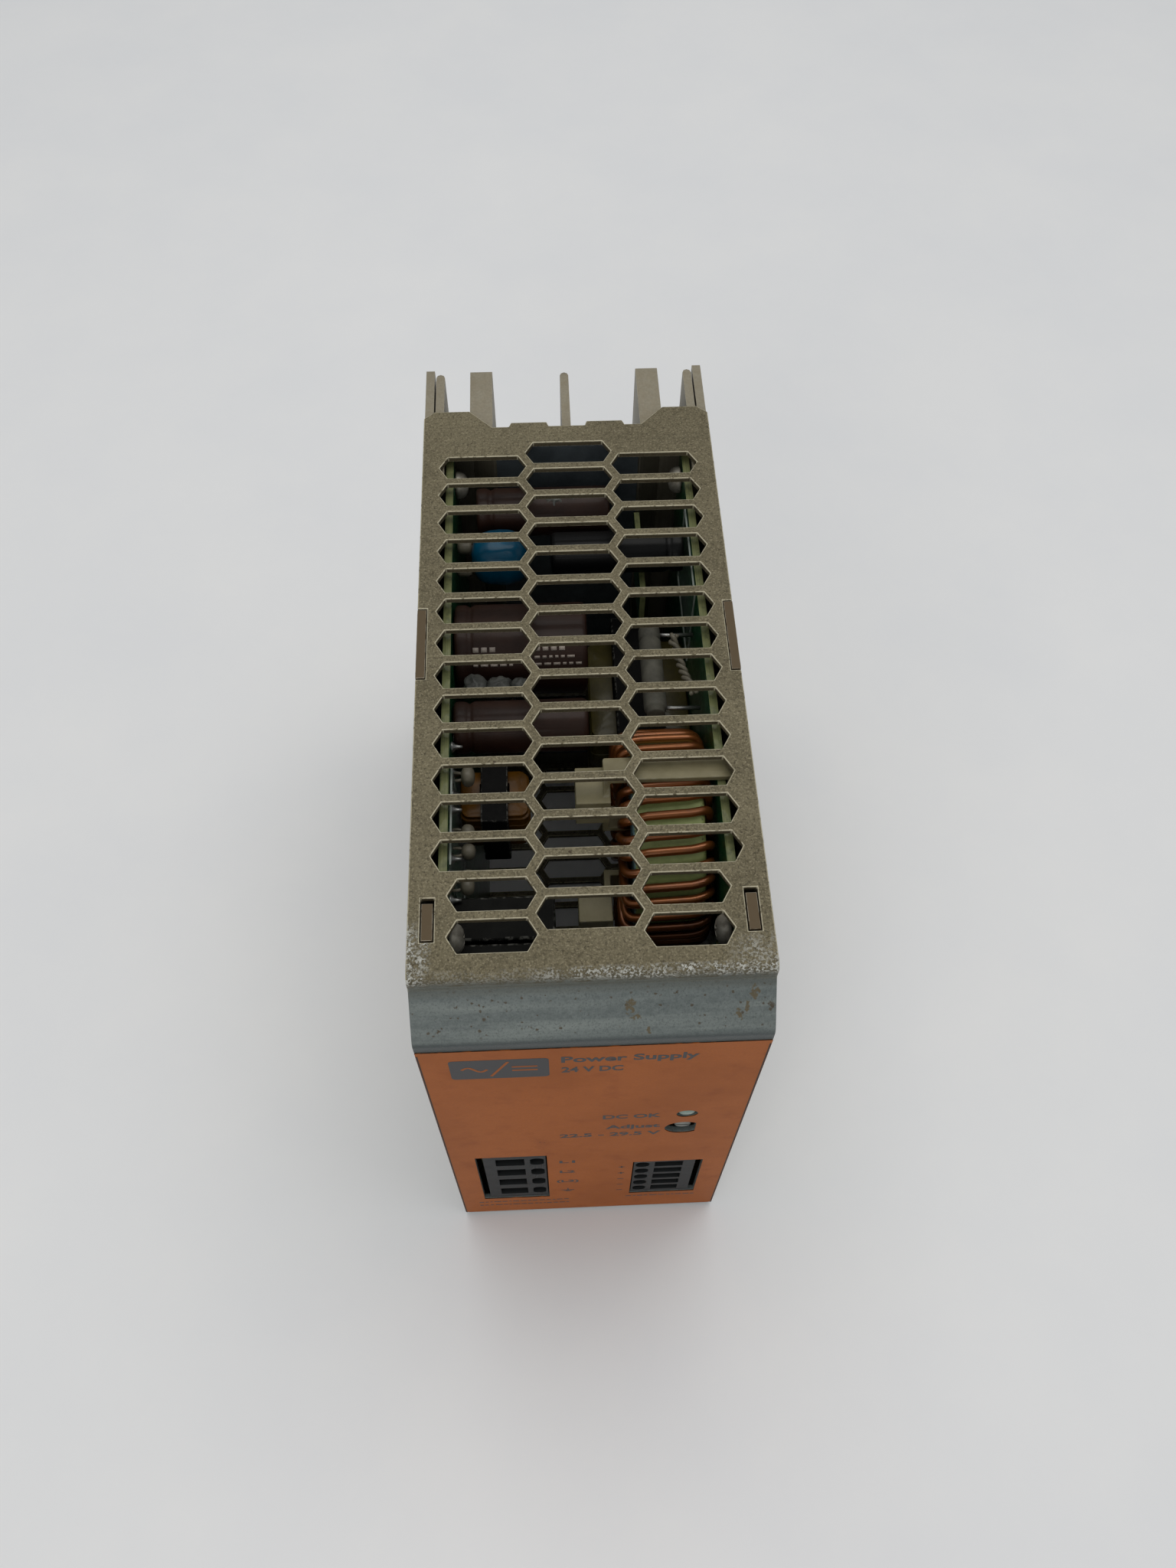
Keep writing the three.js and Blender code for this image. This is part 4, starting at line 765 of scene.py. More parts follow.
CLAMP_SPRINGS = [node for node in sorted(frame["nodes"]) if "_clamp_" in node]
WITH_SHORT_EDGES = ("front_cover", "chassis_profile", "rail_bracket")
ROUNDED = {
    "front_cover": ("cover_steel", 0.18), "chassis_profile": ("profile_aluminium", 0.05),
    "left_circuit_board": ("board_laminate", 0.12), "right_circuit_board": ("board_laminate", 0.12),
    "control_board": ("board_laminate", 0.1),
    "left_insulating_sheet": ("clear_sheet", 0.08), "right_insulating_sheet": ("clear_sheet", 0.08),
    "rear_insulating_sheet": ("dark_sheet", 0.08),
    "trimmer_body": ("trimmer_plastic", 0.2), "rail_bracket": ("bracket_steel", 0.2),
    "rail_latch": ("bracket_steel", 0.25), "clamp_bar": ("bracket_steel", 0.3),
    "line_capacitor_1": ("grey_case", 0.5), "line_capacitor_2": ("grey_case", 0.5),
    "main_transformer_core": ("ferrite", 0.4), "auxiliary_transformer_core": ("ferrite", 0.25),
    "filter_choke": ("ferrite", 0.5), "bridge_rectifier": ("black_epoxy", 0.4),
    "switching_transistor": ("black_epoxy", 0.3), "output_rectifier": ("black_epoxy", 0.3),
}
ROUNDED.update({node: ("spring_steel", 0.08) for node in CLAMP_SPRINGS})
for node, (slot, radius) in ROUNDED.items():
    dress(node, slot, radius, full=node in WITH_SHORT_EDGES)
print(len(ROUNDED), "rounded pieces")

# %% [markdown]
# ## Terminal blocks
#
# The blocks stand in the windows of the label, and their faces come up almost level with it.

# %% Terminal blocks
def face_forward(x, y, z):
    return (x, 0.32 if y < 1.0 else y, z)


dress("input_terminal_block", "terminal_plastic", 0.2, reshape=face_forward)
dress("output_terminal_block", "terminal_plastic", 0.16, reshape=face_forward)
print("two terminal blocks")

# %% [markdown]
# ## Turned and swept shapes
#
# Cans, screws and the ceramic resistor are turned shapes: a profile carried round an axis. Wires
# and springs are swept: a circle carried along a path, kept from twisting by passing each ring's
# direction on to the next.

# %% Turning and sweeping
def join_rings(bm, ring, following):
    """Faces between two closed rings of equally many points."""
    count = len(ring)
    for k in range(count):
        after = (k + 1) % count
        bm.faces.new([ring[k], ring[after], following[after], following[k]])


def circle(count):
    """The cosines and sines of evenly spaced angles."""
    return [(math.cos(2 * math.pi * k / count), math.sin(2 * math.pi * k / count)) for k in range(count)]


def turn_about(bm, profile, place, axis, segments=48, marks=None):
    """profile: [(distance along the axis, radius)], in mm; its ends close on the axis. marks: an
    equally long list of material numbers, one for each stretch of the profile."""
    axis = Vector(axis)
    side = axis.orthogonal().normalized()
    other = axis.cross(side)
    rings = []
    for distance, radius in profile:
        centre = at(*(Vector(place) + axis * distance))
        if radius == 0:
            rings.append([bm.verts.new(centre)])
            continue
        around = circle(segments)
        rings.append([bm.verts.new(centre + (side * c + other * s) * radius * MM) for c, s in around])
    for i, (ring, following) in enumerate(zip(rings, rings[1:])):
        for k in range(segments):
            corners = [ring[k % len(ring)], ring[(k + 1) % len(ring)],
                       following[(k + 1) % len(following)], following[k % len(following)]]
            face = bm.faces.new(list(dict.fromkeys(corners)))
            face.material_index = marks[i] if marks else 0


def sweep(bm, path, radius, sides=10, mark=None):
    """A round bar along a path of drawing points; mark sets the value `turn` of each point."""
    points = [at(*p) for p in path]
    layer = bm.verts.layers.float.get("turn") or bm.verts.layers.float.new("turn")
    side = None
    rings = []
    for i, point in enumerate(points):
        direction = (points[min(i + 1, len(points) - 1)] - points[max(i - 1, 0)]).normalized()
        side = direction.orthogonal() if side is None else side - direction * side.dot(direction)
        side.normalize()
        other = direction.cross(side)
        ring = [bm.verts.new(point + (side * c + other * s) * radius * MM) for c, s in circle(sides)]
        for vert in ring:
            vert[layer] = mark[i] if mark else 0.0
        rings.append(ring)
    for ring, following in zip(rings, rings[1:]):
        join_rings(bm, ring, following)
    bm.faces.new(rings[0])
    bm.faces.new(rings[-1])


# %% [markdown]
# ## Sleeved capacitor cans
#
# An electrolytic is an aluminium can in a shrunk plastic sleeve. The sleeve follows the groove
# near the base, and curls over the top edge, where a ring of bare can shows round the vent end.

# %% Cans
def can_profile(radius, length):
    """(distance from the base, radius, material) along the can: 0 sleeve, 1 bare can."""
    groove = min(3.0, length * 0.15)
    return [
        (0.5, 0, 1), (0.5, radius - 1.5, 0), (0.15, radius - 1.3, 0), (0.0, radius - 0.8, 0),
        (0.12, radius - 0.25, 0), (0.6, radius, 0), (groove - 1.0, radius, 0),
        (groove - 0.5, radius - 0.2, 0), (groove, radius - 0.5, 0), (groove + 0.5, radius - 0.2, 0),
        (groove + 1.0, radius, 0), (length * 0.5, radius - 0.03, 0), (length - 1.1, radius, 0),
        (length - 0.5, radius - 0.15, 0), (length - 0.12, radius - 0.55, 0), (length, radius - 1.1, 0),
        (length - 0.05, radius - 1.7, 1), (length - 0.35, radius - 1.85, 1), (length - 0.35, 0, 1),
    ]


def make_can(node, slot):
    low, high = box_mm(node)
    from_left = low.x < -6
    base = low.x if from_left else high.x
    place = (base, (low.y + high.y) / 2, (low.z + high.z) / 2)
    radius = (high.z - low.z) / 2
    profile = can_profile(radius, high.x - low.x)
    shape = [(distance, across) for distance, across, stuff in profile]
    stuffs = [stuff for distance, across, stuff in profile]
    bm = bmesh.new()
    turn_about(bm, shape, place, (1 if from_left else -1, 0, 0), 56, stuffs)
    stand_in(node, bm, slot, [FINISHES[slot], CAN_END])


for number in (1, 2, 3):
    make_can(f"bulk_capacitor_{number}", "brown_sleeve")
for number in (1, 2):
    make_can(f"output_capacitor_{number}", "black_sleeve")
print("5 cans")

# %% [markdown]
# ## Marks on the sleeves
#
# Sleeves carry printed rating marks. Here they are plain bars and dashes, a hair above the
# sleeve, set where such print sits: near the base and along the side that looks up and forward.

# %% Sleeve marks
def curved_bar(bm, centre, radius, x_span, angle_span):
    """A thin patch on a can lying along x; angles in degrees from straight up, + towards the front."""
    steps = max(2, int(abs(angle_span[1] - angle_span[0]) / 4))
    shells = []
    for r in (radius - 0.05, radius + 0.03):
        rows = []
        for x in x_span:
            row = []
            for k in range(steps + 1):
                a = math.radians(angle_span[0] + (angle_span[1] - angle_span[0]) * k / steps)
                row.append(bm.verts.new(at(x, centre[0] - r * math.sin(a), centre[1] + r * math.cos(a))))
            rows.append(row)
        shells.append(rows)
    (b0, b1), (t0, t1) = shells
    for k in range(steps):
        bm.faces.new([t0[k], t0[k + 1], t1[k + 1], t1[k]])
        bm.faces.new([b0[k], b1[k], b1[k + 1], b0[k + 1]])
        bm.faces.new([b0[k], b0[k + 1], t0[k + 1], t0[k]])
        bm.faces.new([b1[k], t1[k], t1[k + 1], b1[k + 1]])
    for k in (0, steps):
        bm.faces.new([b0[k], t0[k], t1[k], b1[k]])


def sleeve_marks():
    low, high = box_mm("bulk_capacitor_1")
    centre, radius = ((low.y + high.y) / 2, (low.z + high.z) / 2), (high.z - low.z) / 2
    rng = random.Random(4)
    bm = bmesh.new()
    for start_x, bars in ((low.x + 3.6, 3), (low.x + 15.4, 4)):
        for row, angle in enumerate((34, 46, 55)):
            x = start_x
            for _ in range(bars if row == 0 else bars + 2):
                wide = rng.uniform(0.5, 1.5) if row else 1.1
                tall = 6 if row == 0 else 3
                curved_bar(bm, centre, radius, (x, x + wide), (angle, angle + tall))
                x += wide + 0.5
    return extra("sleeve_marks", bm, PALE_INK)


print("marks:", len(sleeve_marks().data.polygons), "faces")

# %% [markdown]
# ## Screws
#
# Pan-head screws hold the boards, and flat-head ones the rail bracket. The head is turned, and
# its cross recess is cut by taking two crossed wedges away from it, as the punch does.

# %% Screws with a cross recess
def cross_recess(bm, place, axis, reach, depth):
    """Two crossed bars, as a separate mesh to cut with."""
    axis = Vector(axis)
    side = Vector((0, 0, 1)) if abs(axis.z) < 0.5 else Vector((1, 0, 0))
    other = axis.cross(side)
    for along, across in ((side, other), (other, side)):
        corners = []
        for d, shrink in ((-1.0, 1.15), (depth, 0.45)):
            for a, b in ((-1, -1), (1, -1), (1, 1), (-1, 1)):
                offset = along * a * reach * shrink + across * b * 0.34
                corners.append(bm.verts.new(at(*(Vector(place) + axis * d + offset))))
        low, high = corners[:4], corners[4:]
        bm.faces.new(low)
        bm.faces.new(high)
        join_rings(bm, low, high)


def cut_away(piece, bm):
    tool_mesh = mesh_from(bm, "tool_mesh", smooth=False)
    tool = bpy.data.objects.new("tool", tool_mesh)
    bpy.context.scene.collection.objects.link(tool)
    step = piece.modifiers.new("cut", "BOOLEAN")
    step.operation = "DIFFERENCE"
    step.solver = "EXACT"
    step.use_self = True
    step.object = tool
    with bpy.context.temp_override(object=piece, active_object=piece, selected_objects=[piece]):
        bpy.ops.object.modifier_apply(modifier=step.name)
    bpy.data.objects.remove(tool)
    bpy.data.meshes.remove(tool_mesh)


PAN_HEAD = [(-2.4, 0), (-2.38, 0.8), (-2.22, 1.6), (-1.8, 2.25), (-1.2, 2.62), (-0.6, 2.78), (-0.15, 2.8),
            (0, 2.7), (0, 1.4), (4.0, 1.4), (4.3, 1.1), (4.3, 0)]
FLAT_HEAD = [(0, 0), (0.3, 1.4), (8.2, 1.4), (9.4, 2.66), (9.5, 2.78), (9.58, 2.74), (9.6, 2.6), (9.6, 0)]


def make_screw(node, profile, axis, head_at):
    low, high = box_mm(node)
    middle = (low + high) / 2
    if abs(axis[0]):
        start = (high.x - 4.3) if axis[0] > 0 else (low.x + 4.3)
        place = (start, middle.y, middle.z)
    else:
        place = (middle.x, low.y, middle.z)
    bm = bmesh.new()
    turn_about(bm, profile, place, axis, 32)
    piece = stand_in(node, bm, "screw_steel")
    direction = Vector(axis) * (1 if head_at < 0 else -1)
    tool = bmesh.new()
    cross_recess(tool, Vector(place) + Vector(axis) * head_at, direction, 1.5, 1.5)
    cut_away(piece, tool)
    piece.data.set_sharp_from_angle(angle=math.radians(38))


for node in sorted(frame["nodes"]):
    if node.startswith("board_screw"):
        make_screw(node, PAN_HEAD, (1 if box_mm(node)[0].x > 0 else -1, 0, 0), -2.4)
    elif node.startswith("bracket_screw"):
        make_screw(node, FLAT_HEAD, (0, 1, 0), 9.6)
print("12 screws")

# %% [markdown]
# ## Status light and trimmer
#
# The light's lens is a short, nearly flat dome that fills its hole. The trimmer's rotor is a disc
# with a raised hub, and the hub has the slot for a small screwdriver.

# %% Light and rotor
def make_light():
    low, high = box_mm("status_led")
    x, z = low.x + 2.2, (low.z + high.z) / 2
    bm = bmesh.new()
    profile = [(0.12, 0), (0.16, 0.9), (0.3, 1.4), (0.55, 1.68), (0.9, 1.78), (5.0, 1.78), (5.0, 2.2),
               (6.2, 2.2), (6.2, 0)]
    turn_about(bm, profile, (x, 0, z - 0.22), (0, 1, 0), 40)
    for side, bend, back in ((-0.6, 8.0, 8.8), (0.6, 7.0, 7.6)):
        leg = [(x + side, 6.1, z), (x + side, bend, z), (x + 2.0, back, z), (high.x - 0.05, back, z)]
        sweep(bm, leg, 0.3, 8)
    stand_in("status_led", bm, "led_lens", crease=40)


def make_rotor():
    low, high = box_mm("trimmer_rotor")
    middle = (low + high) / 2
    radius = (high.x - low.x) / 2
    bm = bmesh.new()
    profile = [(0.62, 0), (0.62, 1.45), (0.75, 1.62), (1.0, 1.68), (2.0, 1.68), (2.2, 1.72),
               (2.2, radius - 0.2), (2.35, radius), (high.y, radius), (high.y, 0)]
    turn_about(bm, profile, (middle.x, 0, middle.z), (0, 1, 0), 40)
    piece = stand_in("trimmer_rotor", bm, "trimmer_rotor")
    slot = bmesh.new()
    bmesh.ops.create_cube(slot, size=1.0, matrix=Matrix.Translation(at(middle.x, 1.0, middle.z))
                          @ Matrix.Diagonal((4.2 * MM, 1.6 * MM, 0.62 * MM, 1)))
    cut_away(piece, slot)
    piece.data.set_sharp_from_angle(angle=math.radians(38))


make_light()
make_rotor()
print("light and rotor made")

# %% [markdown]
# ## The output choke
#
# The ring is wound by hand with heavy wire: the turns lie tight in the bore, fan out over the
# faces and stand apart on the rim, so the painted core shows between them. On the free face they
# bulge a little. One continuous path makes them all: it goes round the ring once while it goes
# round the ring's section once for each turn.

# %% Choke winding
TURNS = 38
WIRE_MM = 1.66
BORE_RADIUS = 9.6
STEPS_PER_TURN = 44
SKIPPED_DEGREES = 12
SLANT_DEGREES = -5.0


def section_loop(share, inner, outer, left, right, bulge):
    """A point of the wire's loop round the ring's section: (radius, x), for share 0..1."""
    angle = 2 * math.pi * share
    middle, half = (inner + outer) / 2, (outer - inner) / 2
    centre, reach = (left + right) / 2, (right - left) / 2
    power = 0.36
    c, s = math.cos(angle), math.sin(angle)
    radius = middle + half * math.copysign(abs(c) ** power, c)
    x = centre + reach * math.copysign(abs(s) ** power, s)
    if s < 0:
        x -= bulge * abs(s) ** 1.5 * (0.55 + 0.45 * math.cos(math.pi * (radius - middle) / (2 * half)))
    return radius, x


def wire_path():
    low, high = box_mm("choke_winding")
    centre = ((low.y + high.y) / 2, (low.z + high.z) / 2)
    wire = WIRE_MM / 2
    outer = (high.z - low.z) / 2 - wire
    inner = BORE_RADIUS + wire
    left, right = box_mm("choke_core")[0].x - wire - 0.25, high.x - wire
    rng = random.Random(11)
    lean = [rng.uniform(-1, 1) for _ in range(TURNS + 2)]
    puff = [rng.uniform(0.35, 1.0) for _ in range(TURNS + 2)]
    shade = [rng.random() for _ in range(TURNS + 2)]
    path, marks = [], []
    total = TURNS * STEPS_PER_TURN
    for i in range(total + 1):
        turn, share = divmod(i / STEPS_PER_TURN, 1.0)
        turn = int(turn)

        def between(values):
            return values[turn] * (1 - share) + values[turn + 1] * share

        bulge = 1.25 * between(puff)
        radius, x = section_loop(share, inner, outer, left, right, bulge)
        along = (turn + share) / TURNS
        loose = (radius - inner) / (outer - inner)
        wobble = between(lean) * 1.3 * loose
        slant = SLANT_DEGREES * loose * math.sin(2 * math.pi * share)
        angle = math.radians(-90 + SKIPPED_DEGREES / 2 + (360 - SKIPPED_DEGREES) * along + wobble + slant)
        path.append((x, centre[0] + radius * math.cos(angle), centre[1] + radius * math.sin(angle)))
        marks.append(between(shade))
    return path, marks


def make_choke():
    path, marks = wire_path()
    bm = bmesh.new()
    sweep(bm, path, WIRE_MM / 2, 10, mark=marks)
    add_piece("choke_wire", mesh_from(bm, "choke_wire_mesh"), "case", ["choke_winding"], "enamelled_copper")
    dress("choke_core", "core_coating", 0.9, 3, 50)
    return len(path)


print("choke wire:", make_choke(), "points")

# %% [markdown]
# ## Cable ties
#
# Two nylon ties hold the choke on its board. A tie's strap is a little rounded, its head is a
# small block with a mouth, and the cut end stands out of the head.

# %% Ties
def over_the_rim(x, y, z):
    """The first tie's strap leans back where it crosses the rim."""
    return (x, y + (2.0 if z > 126 else 0.0), z)


def round_the_front(x, y, z):
    """The second tie's strap has slipped down in front."""
    return (x, y, z - (6.0 if y < 24 else 0.0))


dress("choke_tie_1", "nylon", 0.35, 3, reshape=over_the_rim)
dress("choke_tie_2", "nylon", 0.35, 3, reshape=round_the_front)

# %% [markdown]
# ## Dipped and wrapped parts
#
# The blue capacitor is dipped in resin, so it is a soft block that runs a little way down its
# leads. The transformers' windings are wrapped in tape: each layer ends with a small step.

# %% Dipped capacitor
def soft_block(bm, centre, half, power=2.6, rings=20, segments=32, rough=0.0, seed=0):
    """A rounded block; rough moves the surface in and out like a poured or brushed coat."""
    def corner(u, v):
        def bend(value):
            return math.copysign(abs(value) ** (2 / power), value)
        cu, su = math.cos(u), math.sin(u)
        cv, sv = math.cos(v), math.sin(v)
        unit = Vector((bend(cv) * bend(cu), bend(cv) * bend(su), bend(sv)))
        swell = 1 - rough * abs(noise.noise(unit * 1.7 + Vector((seed, 0, 0))))
        return at(*(Vector(centre) + Vector([a * b * swell for a, b in zip(half, unit)])))
    bottom = bm.verts.new(corner(0, -math.pi / 2))
    top = bm.verts.new(corner(0, math.pi / 2))
    rows = []
    for r in range(1, rings):
        v = -math.pi / 2 + math.pi * r / rings
        rows.append([bm.verts.new(corner(2 * math.pi * k / segments, v)) for k in range(segments)])
    for row, following in zip(rows, rows[1:]):
        join_rings(bm, row, following)
    for k in range(segments):
        bm.faces.new([bottom, rows[0][(k + 1) % segments], rows[0][k]])
        bm.faces.new([top, rows[-1][k], rows[-1][(k + 1) % segments]])


def make_film_capacitor():
    low, high = box_mm("film_capacitor")
    y, z = (low.y + high.y) / 2, (low.z + high.z) / 2
    x0 = high.x - 11.8
    bm = bmesh.new()
    soft_block(bm, ((x0 + high.x) / 2, y, z), ((high.x - x0) / 2, 5.1, 5.3), 2.7, 22, 36, 0.05, 2)
    stand_in("film_capacitor", bm, "blue_epoxy")
    leads = bmesh.new()
    coats = bmesh.new()
    for side in (-3, 3):
        path = [(low.x, y + side, z), (low.x + 1.5, y + side, z), (x0 + 2.0, y + side * 0.95, z)]
        sweep(leads, path, 0.4, 10)
        turn_about(coats, [(0.2, 0), (0.2, 1.0), (0.8, 1.35), (2.6, 1.3), (3.1, 1.0), (3.1, 0)],
                   (low.x, y + side, z), (1, 0, 0), 20)
    extra("film_capacitor_leads", leads, SOLDER)
    extra("film_capacitor_lead_coats", coats, CREAM)


make_film_capacitor()

# %% Taped windings
def rounded_loop(half_x, half_y, radius, steps=5):
    """The points of a rectangle with round corners, about its middle."""
    points = []
    for cx, cy, start in ((1, 1, 0), (-1, 1, 90), (-1, -1, 180), (1, -1, 270)):
        for k in range(steps + 1):
            a = math.radians(start + 90 * k / steps)
            points.append((cx * (half_x - radius) + radius * math.cos(a),
                           cy * (half_y - radius) + radius * math.sin(a)))
    return points


def ring_of_layers(bm, centre, outer, inner, levels):
    """A closed ring standing along z: outer loops [(z, inset)], inner half sizes for the hole."""
    loops = []
    for z, inset in levels:
        loops.append([(x, y, z) for x, y in rounded_loop(outer[0] - inset, outer[1] - inset, 1.6)])
    for z in (levels[-1][0], levels[0][0]):
        loops.append([(x, y, z) for x, y in rounded_loop(inner[0], inner[1], 0.3)])
    rings = [[bm.verts.new(at(*(Vector(centre) + Vector(p)))) for p in loop] for loop in loops]
    for ring, following in zip(rings, rings[1:] + rings[:1]):
        join_rings(bm, ring, following)


def make_winding(name, slot, hole):
    node = name + "_winding"
    low, high = box_mm(node)
    half = (high - low) / 2
    centre = (low + high) / 2
    levels = [(-half.z, 0.5), (-half.z + 0.1, 0.3), (-half.z + 1.0, 0.28), (-half.z + 1.15, 0.0)]
    layers = 4
    for k in range(1, layers):
        z = -half.z + 1.15 + (2 * half.z - 2.3) * k / layers
        levels += [(z - 0.12, 0.0), (z, 0.16 if k % 2 else 0.1), (z + 0.12, 0.04)]
    levels += [(half.z - 1.15, 0.0), (half.z - 1.0, 0.28), (half.z - 0.1, 0.3), (half.z, 0.5)]
    bm = bmesh.new()
    ring_of_layers(bm, centre, (half.x, half.y), hole, levels)
    stand_in(node, bm, slot, crease=40)


make_winding("main_transformer", "yellow_tape", (5.3, 4.8))
make_winding("auxiliary_transformer", "amber_tape", (2.8, 2.3))
print("dipped and taped parts made")

# %% [markdown]
# ## Ceramic resistor and the twisted pair beside it
#
# The resistor is a ceramic tube with a necked ring at its front end, held on bent leads. Next to
# it runs a short twisted pair of pale wires from one pad to another.

# %% Resistor
def make_resistor():
    low, high = box_mm("ceramic_resistor")
    radius = (high.z - low.z) / 2
    x, z = low.x + radius, (low.z + high.z) / 2
    long = high.y - low.y
    profile = [(0, 0), (0, 1.5), (0.15, 1.75), (0.9, 1.8), (1.1, 2.1), (1.5, 2.2), (4.9, 2.2), (5.2, 2.0),
               (5.4, 1.55), (5.8, 1.5), (6.1, 1.95), (6.4, 2.2), (long - 3.4, 2.15), (long - 3.0, 1.8),
               (long - 2.7, 1.8), (long - 2.4, 2.15), (long - 0.4, 2.1), (long, 1.7), (long, 0)]
    bm = bmesh.new()
    turn_about(bm, profile, (x, low.y, z), (0, 1, 0), 32)
    stand_in("ceramic_resistor", bm, "resistor_body")
    leads = bmesh.new()
    for y in (low.y + 1.5, high.y - 1.5):
        sweep(leads, [(x + 1.6, y, z), (x + 4.0, y, z - 0.2), (high.x - 0.1, y, z - 0.3)], 0.42, 10)
    extra("resistor_leads", leads, SOLDER)


def make_twisted_pair():
    low, high = box_mm("ceramic_resistor")
    bm = bmesh.new()
    start = Vector((high.x - 1.4, low.y + 3.0, high.z + 0.2))
    end = Vector((high.x - 4.6, low.y + 17.0, high.z + 0.4))
    count, twists = 70, 4.5
    for phase in (0, math.pi):
        path = []
        for i in range(count + 1):
            t = i / count
            a = 2 * math.pi * twists * t + phase
            spread = 0.52 + 0.9 * max(0, t - 0.86) * 4 * (1 if phase else -1)
            sag = -1.6 * math.sin(math.pi * t)
            middle = start.lerp(end, t) + Vector((0, 0, sag))
            path.append(tuple(middle + Vector((math.cos(a) * spread, 0, math.sin(a) * 0.52))))
        sweep(bm, path, 0.45, 8)
    extra("twisted_pair", bm, CREAM)


make_resistor()
make_twisted_pair()
print("resistor and its neighbours made")

# %% [markdown]
# ## Latch spring
#
# The spring that pushes the rail latch is a coil of thin wire with its two end turns laid closed.
# It can't slide as one stiff piece; at the end of the latch's stroke its coil keeps 66 percent of
# its length.

# %% Spring
def make_spring():
    low, high = box_mm("latch_spring")
    wire = 0.35
    radius = (high.y - low.y) / 2 - wire
    x, y = (low.x + high.x) / 2, (low.y + high.y) / 2
    foot, head = low.z + wire, high.z - wire
    turns, steps = 7, 24
    path = []
    for i in range(turns * steps + 1):
        t = i / (turns * steps)
        closed = 0.5 - 0.5 * math.cos(math.pi * min(1, max(0, (t - 0.1) / 0.8)))
        rise = 0.35 * closed + 0.65 * t
        a = 2 * math.pi * turns * t
        path.append((x + radius * math.cos(a), y + radius * math.sin(a), foot + (head - foot) * rise))
    bm = bmesh.new()
    sweep(bm, path, wire, 10)
    spring = add_piece("latch_spring_finished", mesh_from(bm, "latch_spring_mesh"), "case",
                       ["latch_spring"], "spring_steel")
    stroke = 4.5 / (high.z - low.z)
    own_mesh(spring)
    return stroke


print("spring keeps", round(100 * (1 - make_spring())), "percent of its length")

# %% [markdown]
# ## Label and its print
#
# The film's front is set back by three hundredths of a millimetre, and the ink fills that step,
# so the print has a body of its own and still lies within the label's thickness. The lettering is
# plain wording for any such unit: what it is, what the light and the trimmer do, and which pole
# is which. The dark block holds the general sign for an AC to DC converter.

# %% Label film
INK_BACK, INK_FRONT = 0.06, 0.012
CAPITAL_HEIGHT = 0.729  # of a letter of size 1


def make_label():
    mesh = frame["nodes"]["front_label"].data.copy()
    for vert in mesh.vertices:
        if vert.co.y < LABEL_Y + 0.09 * MM:
            vert.co.y = LABEL_Y + 0.03 * MM
    bm = bmesh.new()
    bm.from_mesh(mesh)
    edge_mark = bm.loops.layers.float.new("edge")
    bmesh.ops.remove_doubles(bm, verts=bm.verts, dist=2e-6)
    for face in bm.faces:
        for loop in face.loops:
            loop[edge_mark] = 1.0 if abs(face.normal.y) < 0.5 else 0.0
    bpy.data.meshes.remove(mesh)
    return add_piece("front_label_finished", mesh_from(bm, "front_label_mesh", smooth=False), "case",
                     ["front_label"], "label_film")


# %% Ink
def ink_block(bm, outline, back_y=INK_BACK, front_y=INK_FRONT):
    """A closed patch of ink; outline is a list of (x, distance below the top)."""
    back = [bm.verts.new(at(x, back_y, HEIGHT - below)) for x, below in outline]
    front = [bm.verts.new(at(x, front_y, HEIGHT - below)) for x, below in outline]
    bm.faces.new(back)
    bm.faces.new(front)
    join_rings(bm, back, front)


def ink_line(bm, points, width, back_y=INK_BACK, front_y=INK_FRONT):
    """A line of even width through points, as a closed strip."""
    left, right = [], []
    for k, (x, y) in enumerate(points):
        ahead = points[min(k + 1, len(points) - 1)]
        behind = points[max(k - 1, 0)]
        dx, dy = ahead[0] - behind[0], ahead[1] - behind[1]
        long = math.hypot(dx, dy)
        nx, ny = -dy / long * width / 2, dx / long * width / 2
        left.append((x + nx, y + ny))
        right.append((x - nx, y - ny))
    ink_block(bm, left + right[::-1], back_y, front_y)


def ink_words(bm, words, left, right, middle, height):
    """Words stretched to fit left..right, centred on `middle` below the top."""
    curve = bpy.data.curves.new("words", "FONT")
    curve.body = words
    curve.size = 1.0
    curve.resolution_u = 3
    curve.extrude = 0.5
    curve.offset = 0.03
    holder = bpy.data.objects.new("words", curve)
    bpy.context.scene.collection.objects.link(holder)
    shapes = bpy.data.meshes.new_from_object(holder.evaluated_get(bpy.context.evaluated_depsgraph_get()))
    xs = [v.co.x for v in shapes.vertices]
    wide = (right - left) / (max(xs) - min(xs))
    tall = height / CAPITAL_HEIGHT
    start = min(xs)
    for vert in shapes.vertices:
        x, y, z = vert.co
        depth = (INK_FRONT + INK_BACK) / 2 - z * (INK_BACK - INK_FRONT)
        vert.co = at(left + (x - start) * wide, depth, HEIGHT - middle - height / 2 + y * tall)
    bm.from_mesh(shapes)
    bpy.data.objects.remove(holder)
    bpy.data.curves.remove(curve)
    bpy.data.meshes.remove(shapes)


BLOCK = (-24.8, -7.7, 18.8, 28.4)


def converter_signs(bm):
    """Pale signs on the dark block: a slanted bar, a wave on the AC side, two bars on the DC side."""
    left, right, top, bottom = BLOCK
    middle = (left + right) / 2
    ink_line(bm, [(middle - 1.6, bottom - 1.2), (middle + 1.6, top + 1.2)], 0.5, 0.02, 0.0)
    centre = (top + bottom) / 2
    wave = [(left + 2.0 + 4.4 * k / 12, centre - 1.1 * math.sin(2 * math.pi * k / 12)) for k in range(13)]
    ink_line(bm, wave, 0.55, 0.02, 0.0)
    for row in (centre - 0.9, centre + 0.9):
        ink_line(bm, [(right - 6.4, row), (right - 2.0, row)], 0.6, 0.02, 0.0)


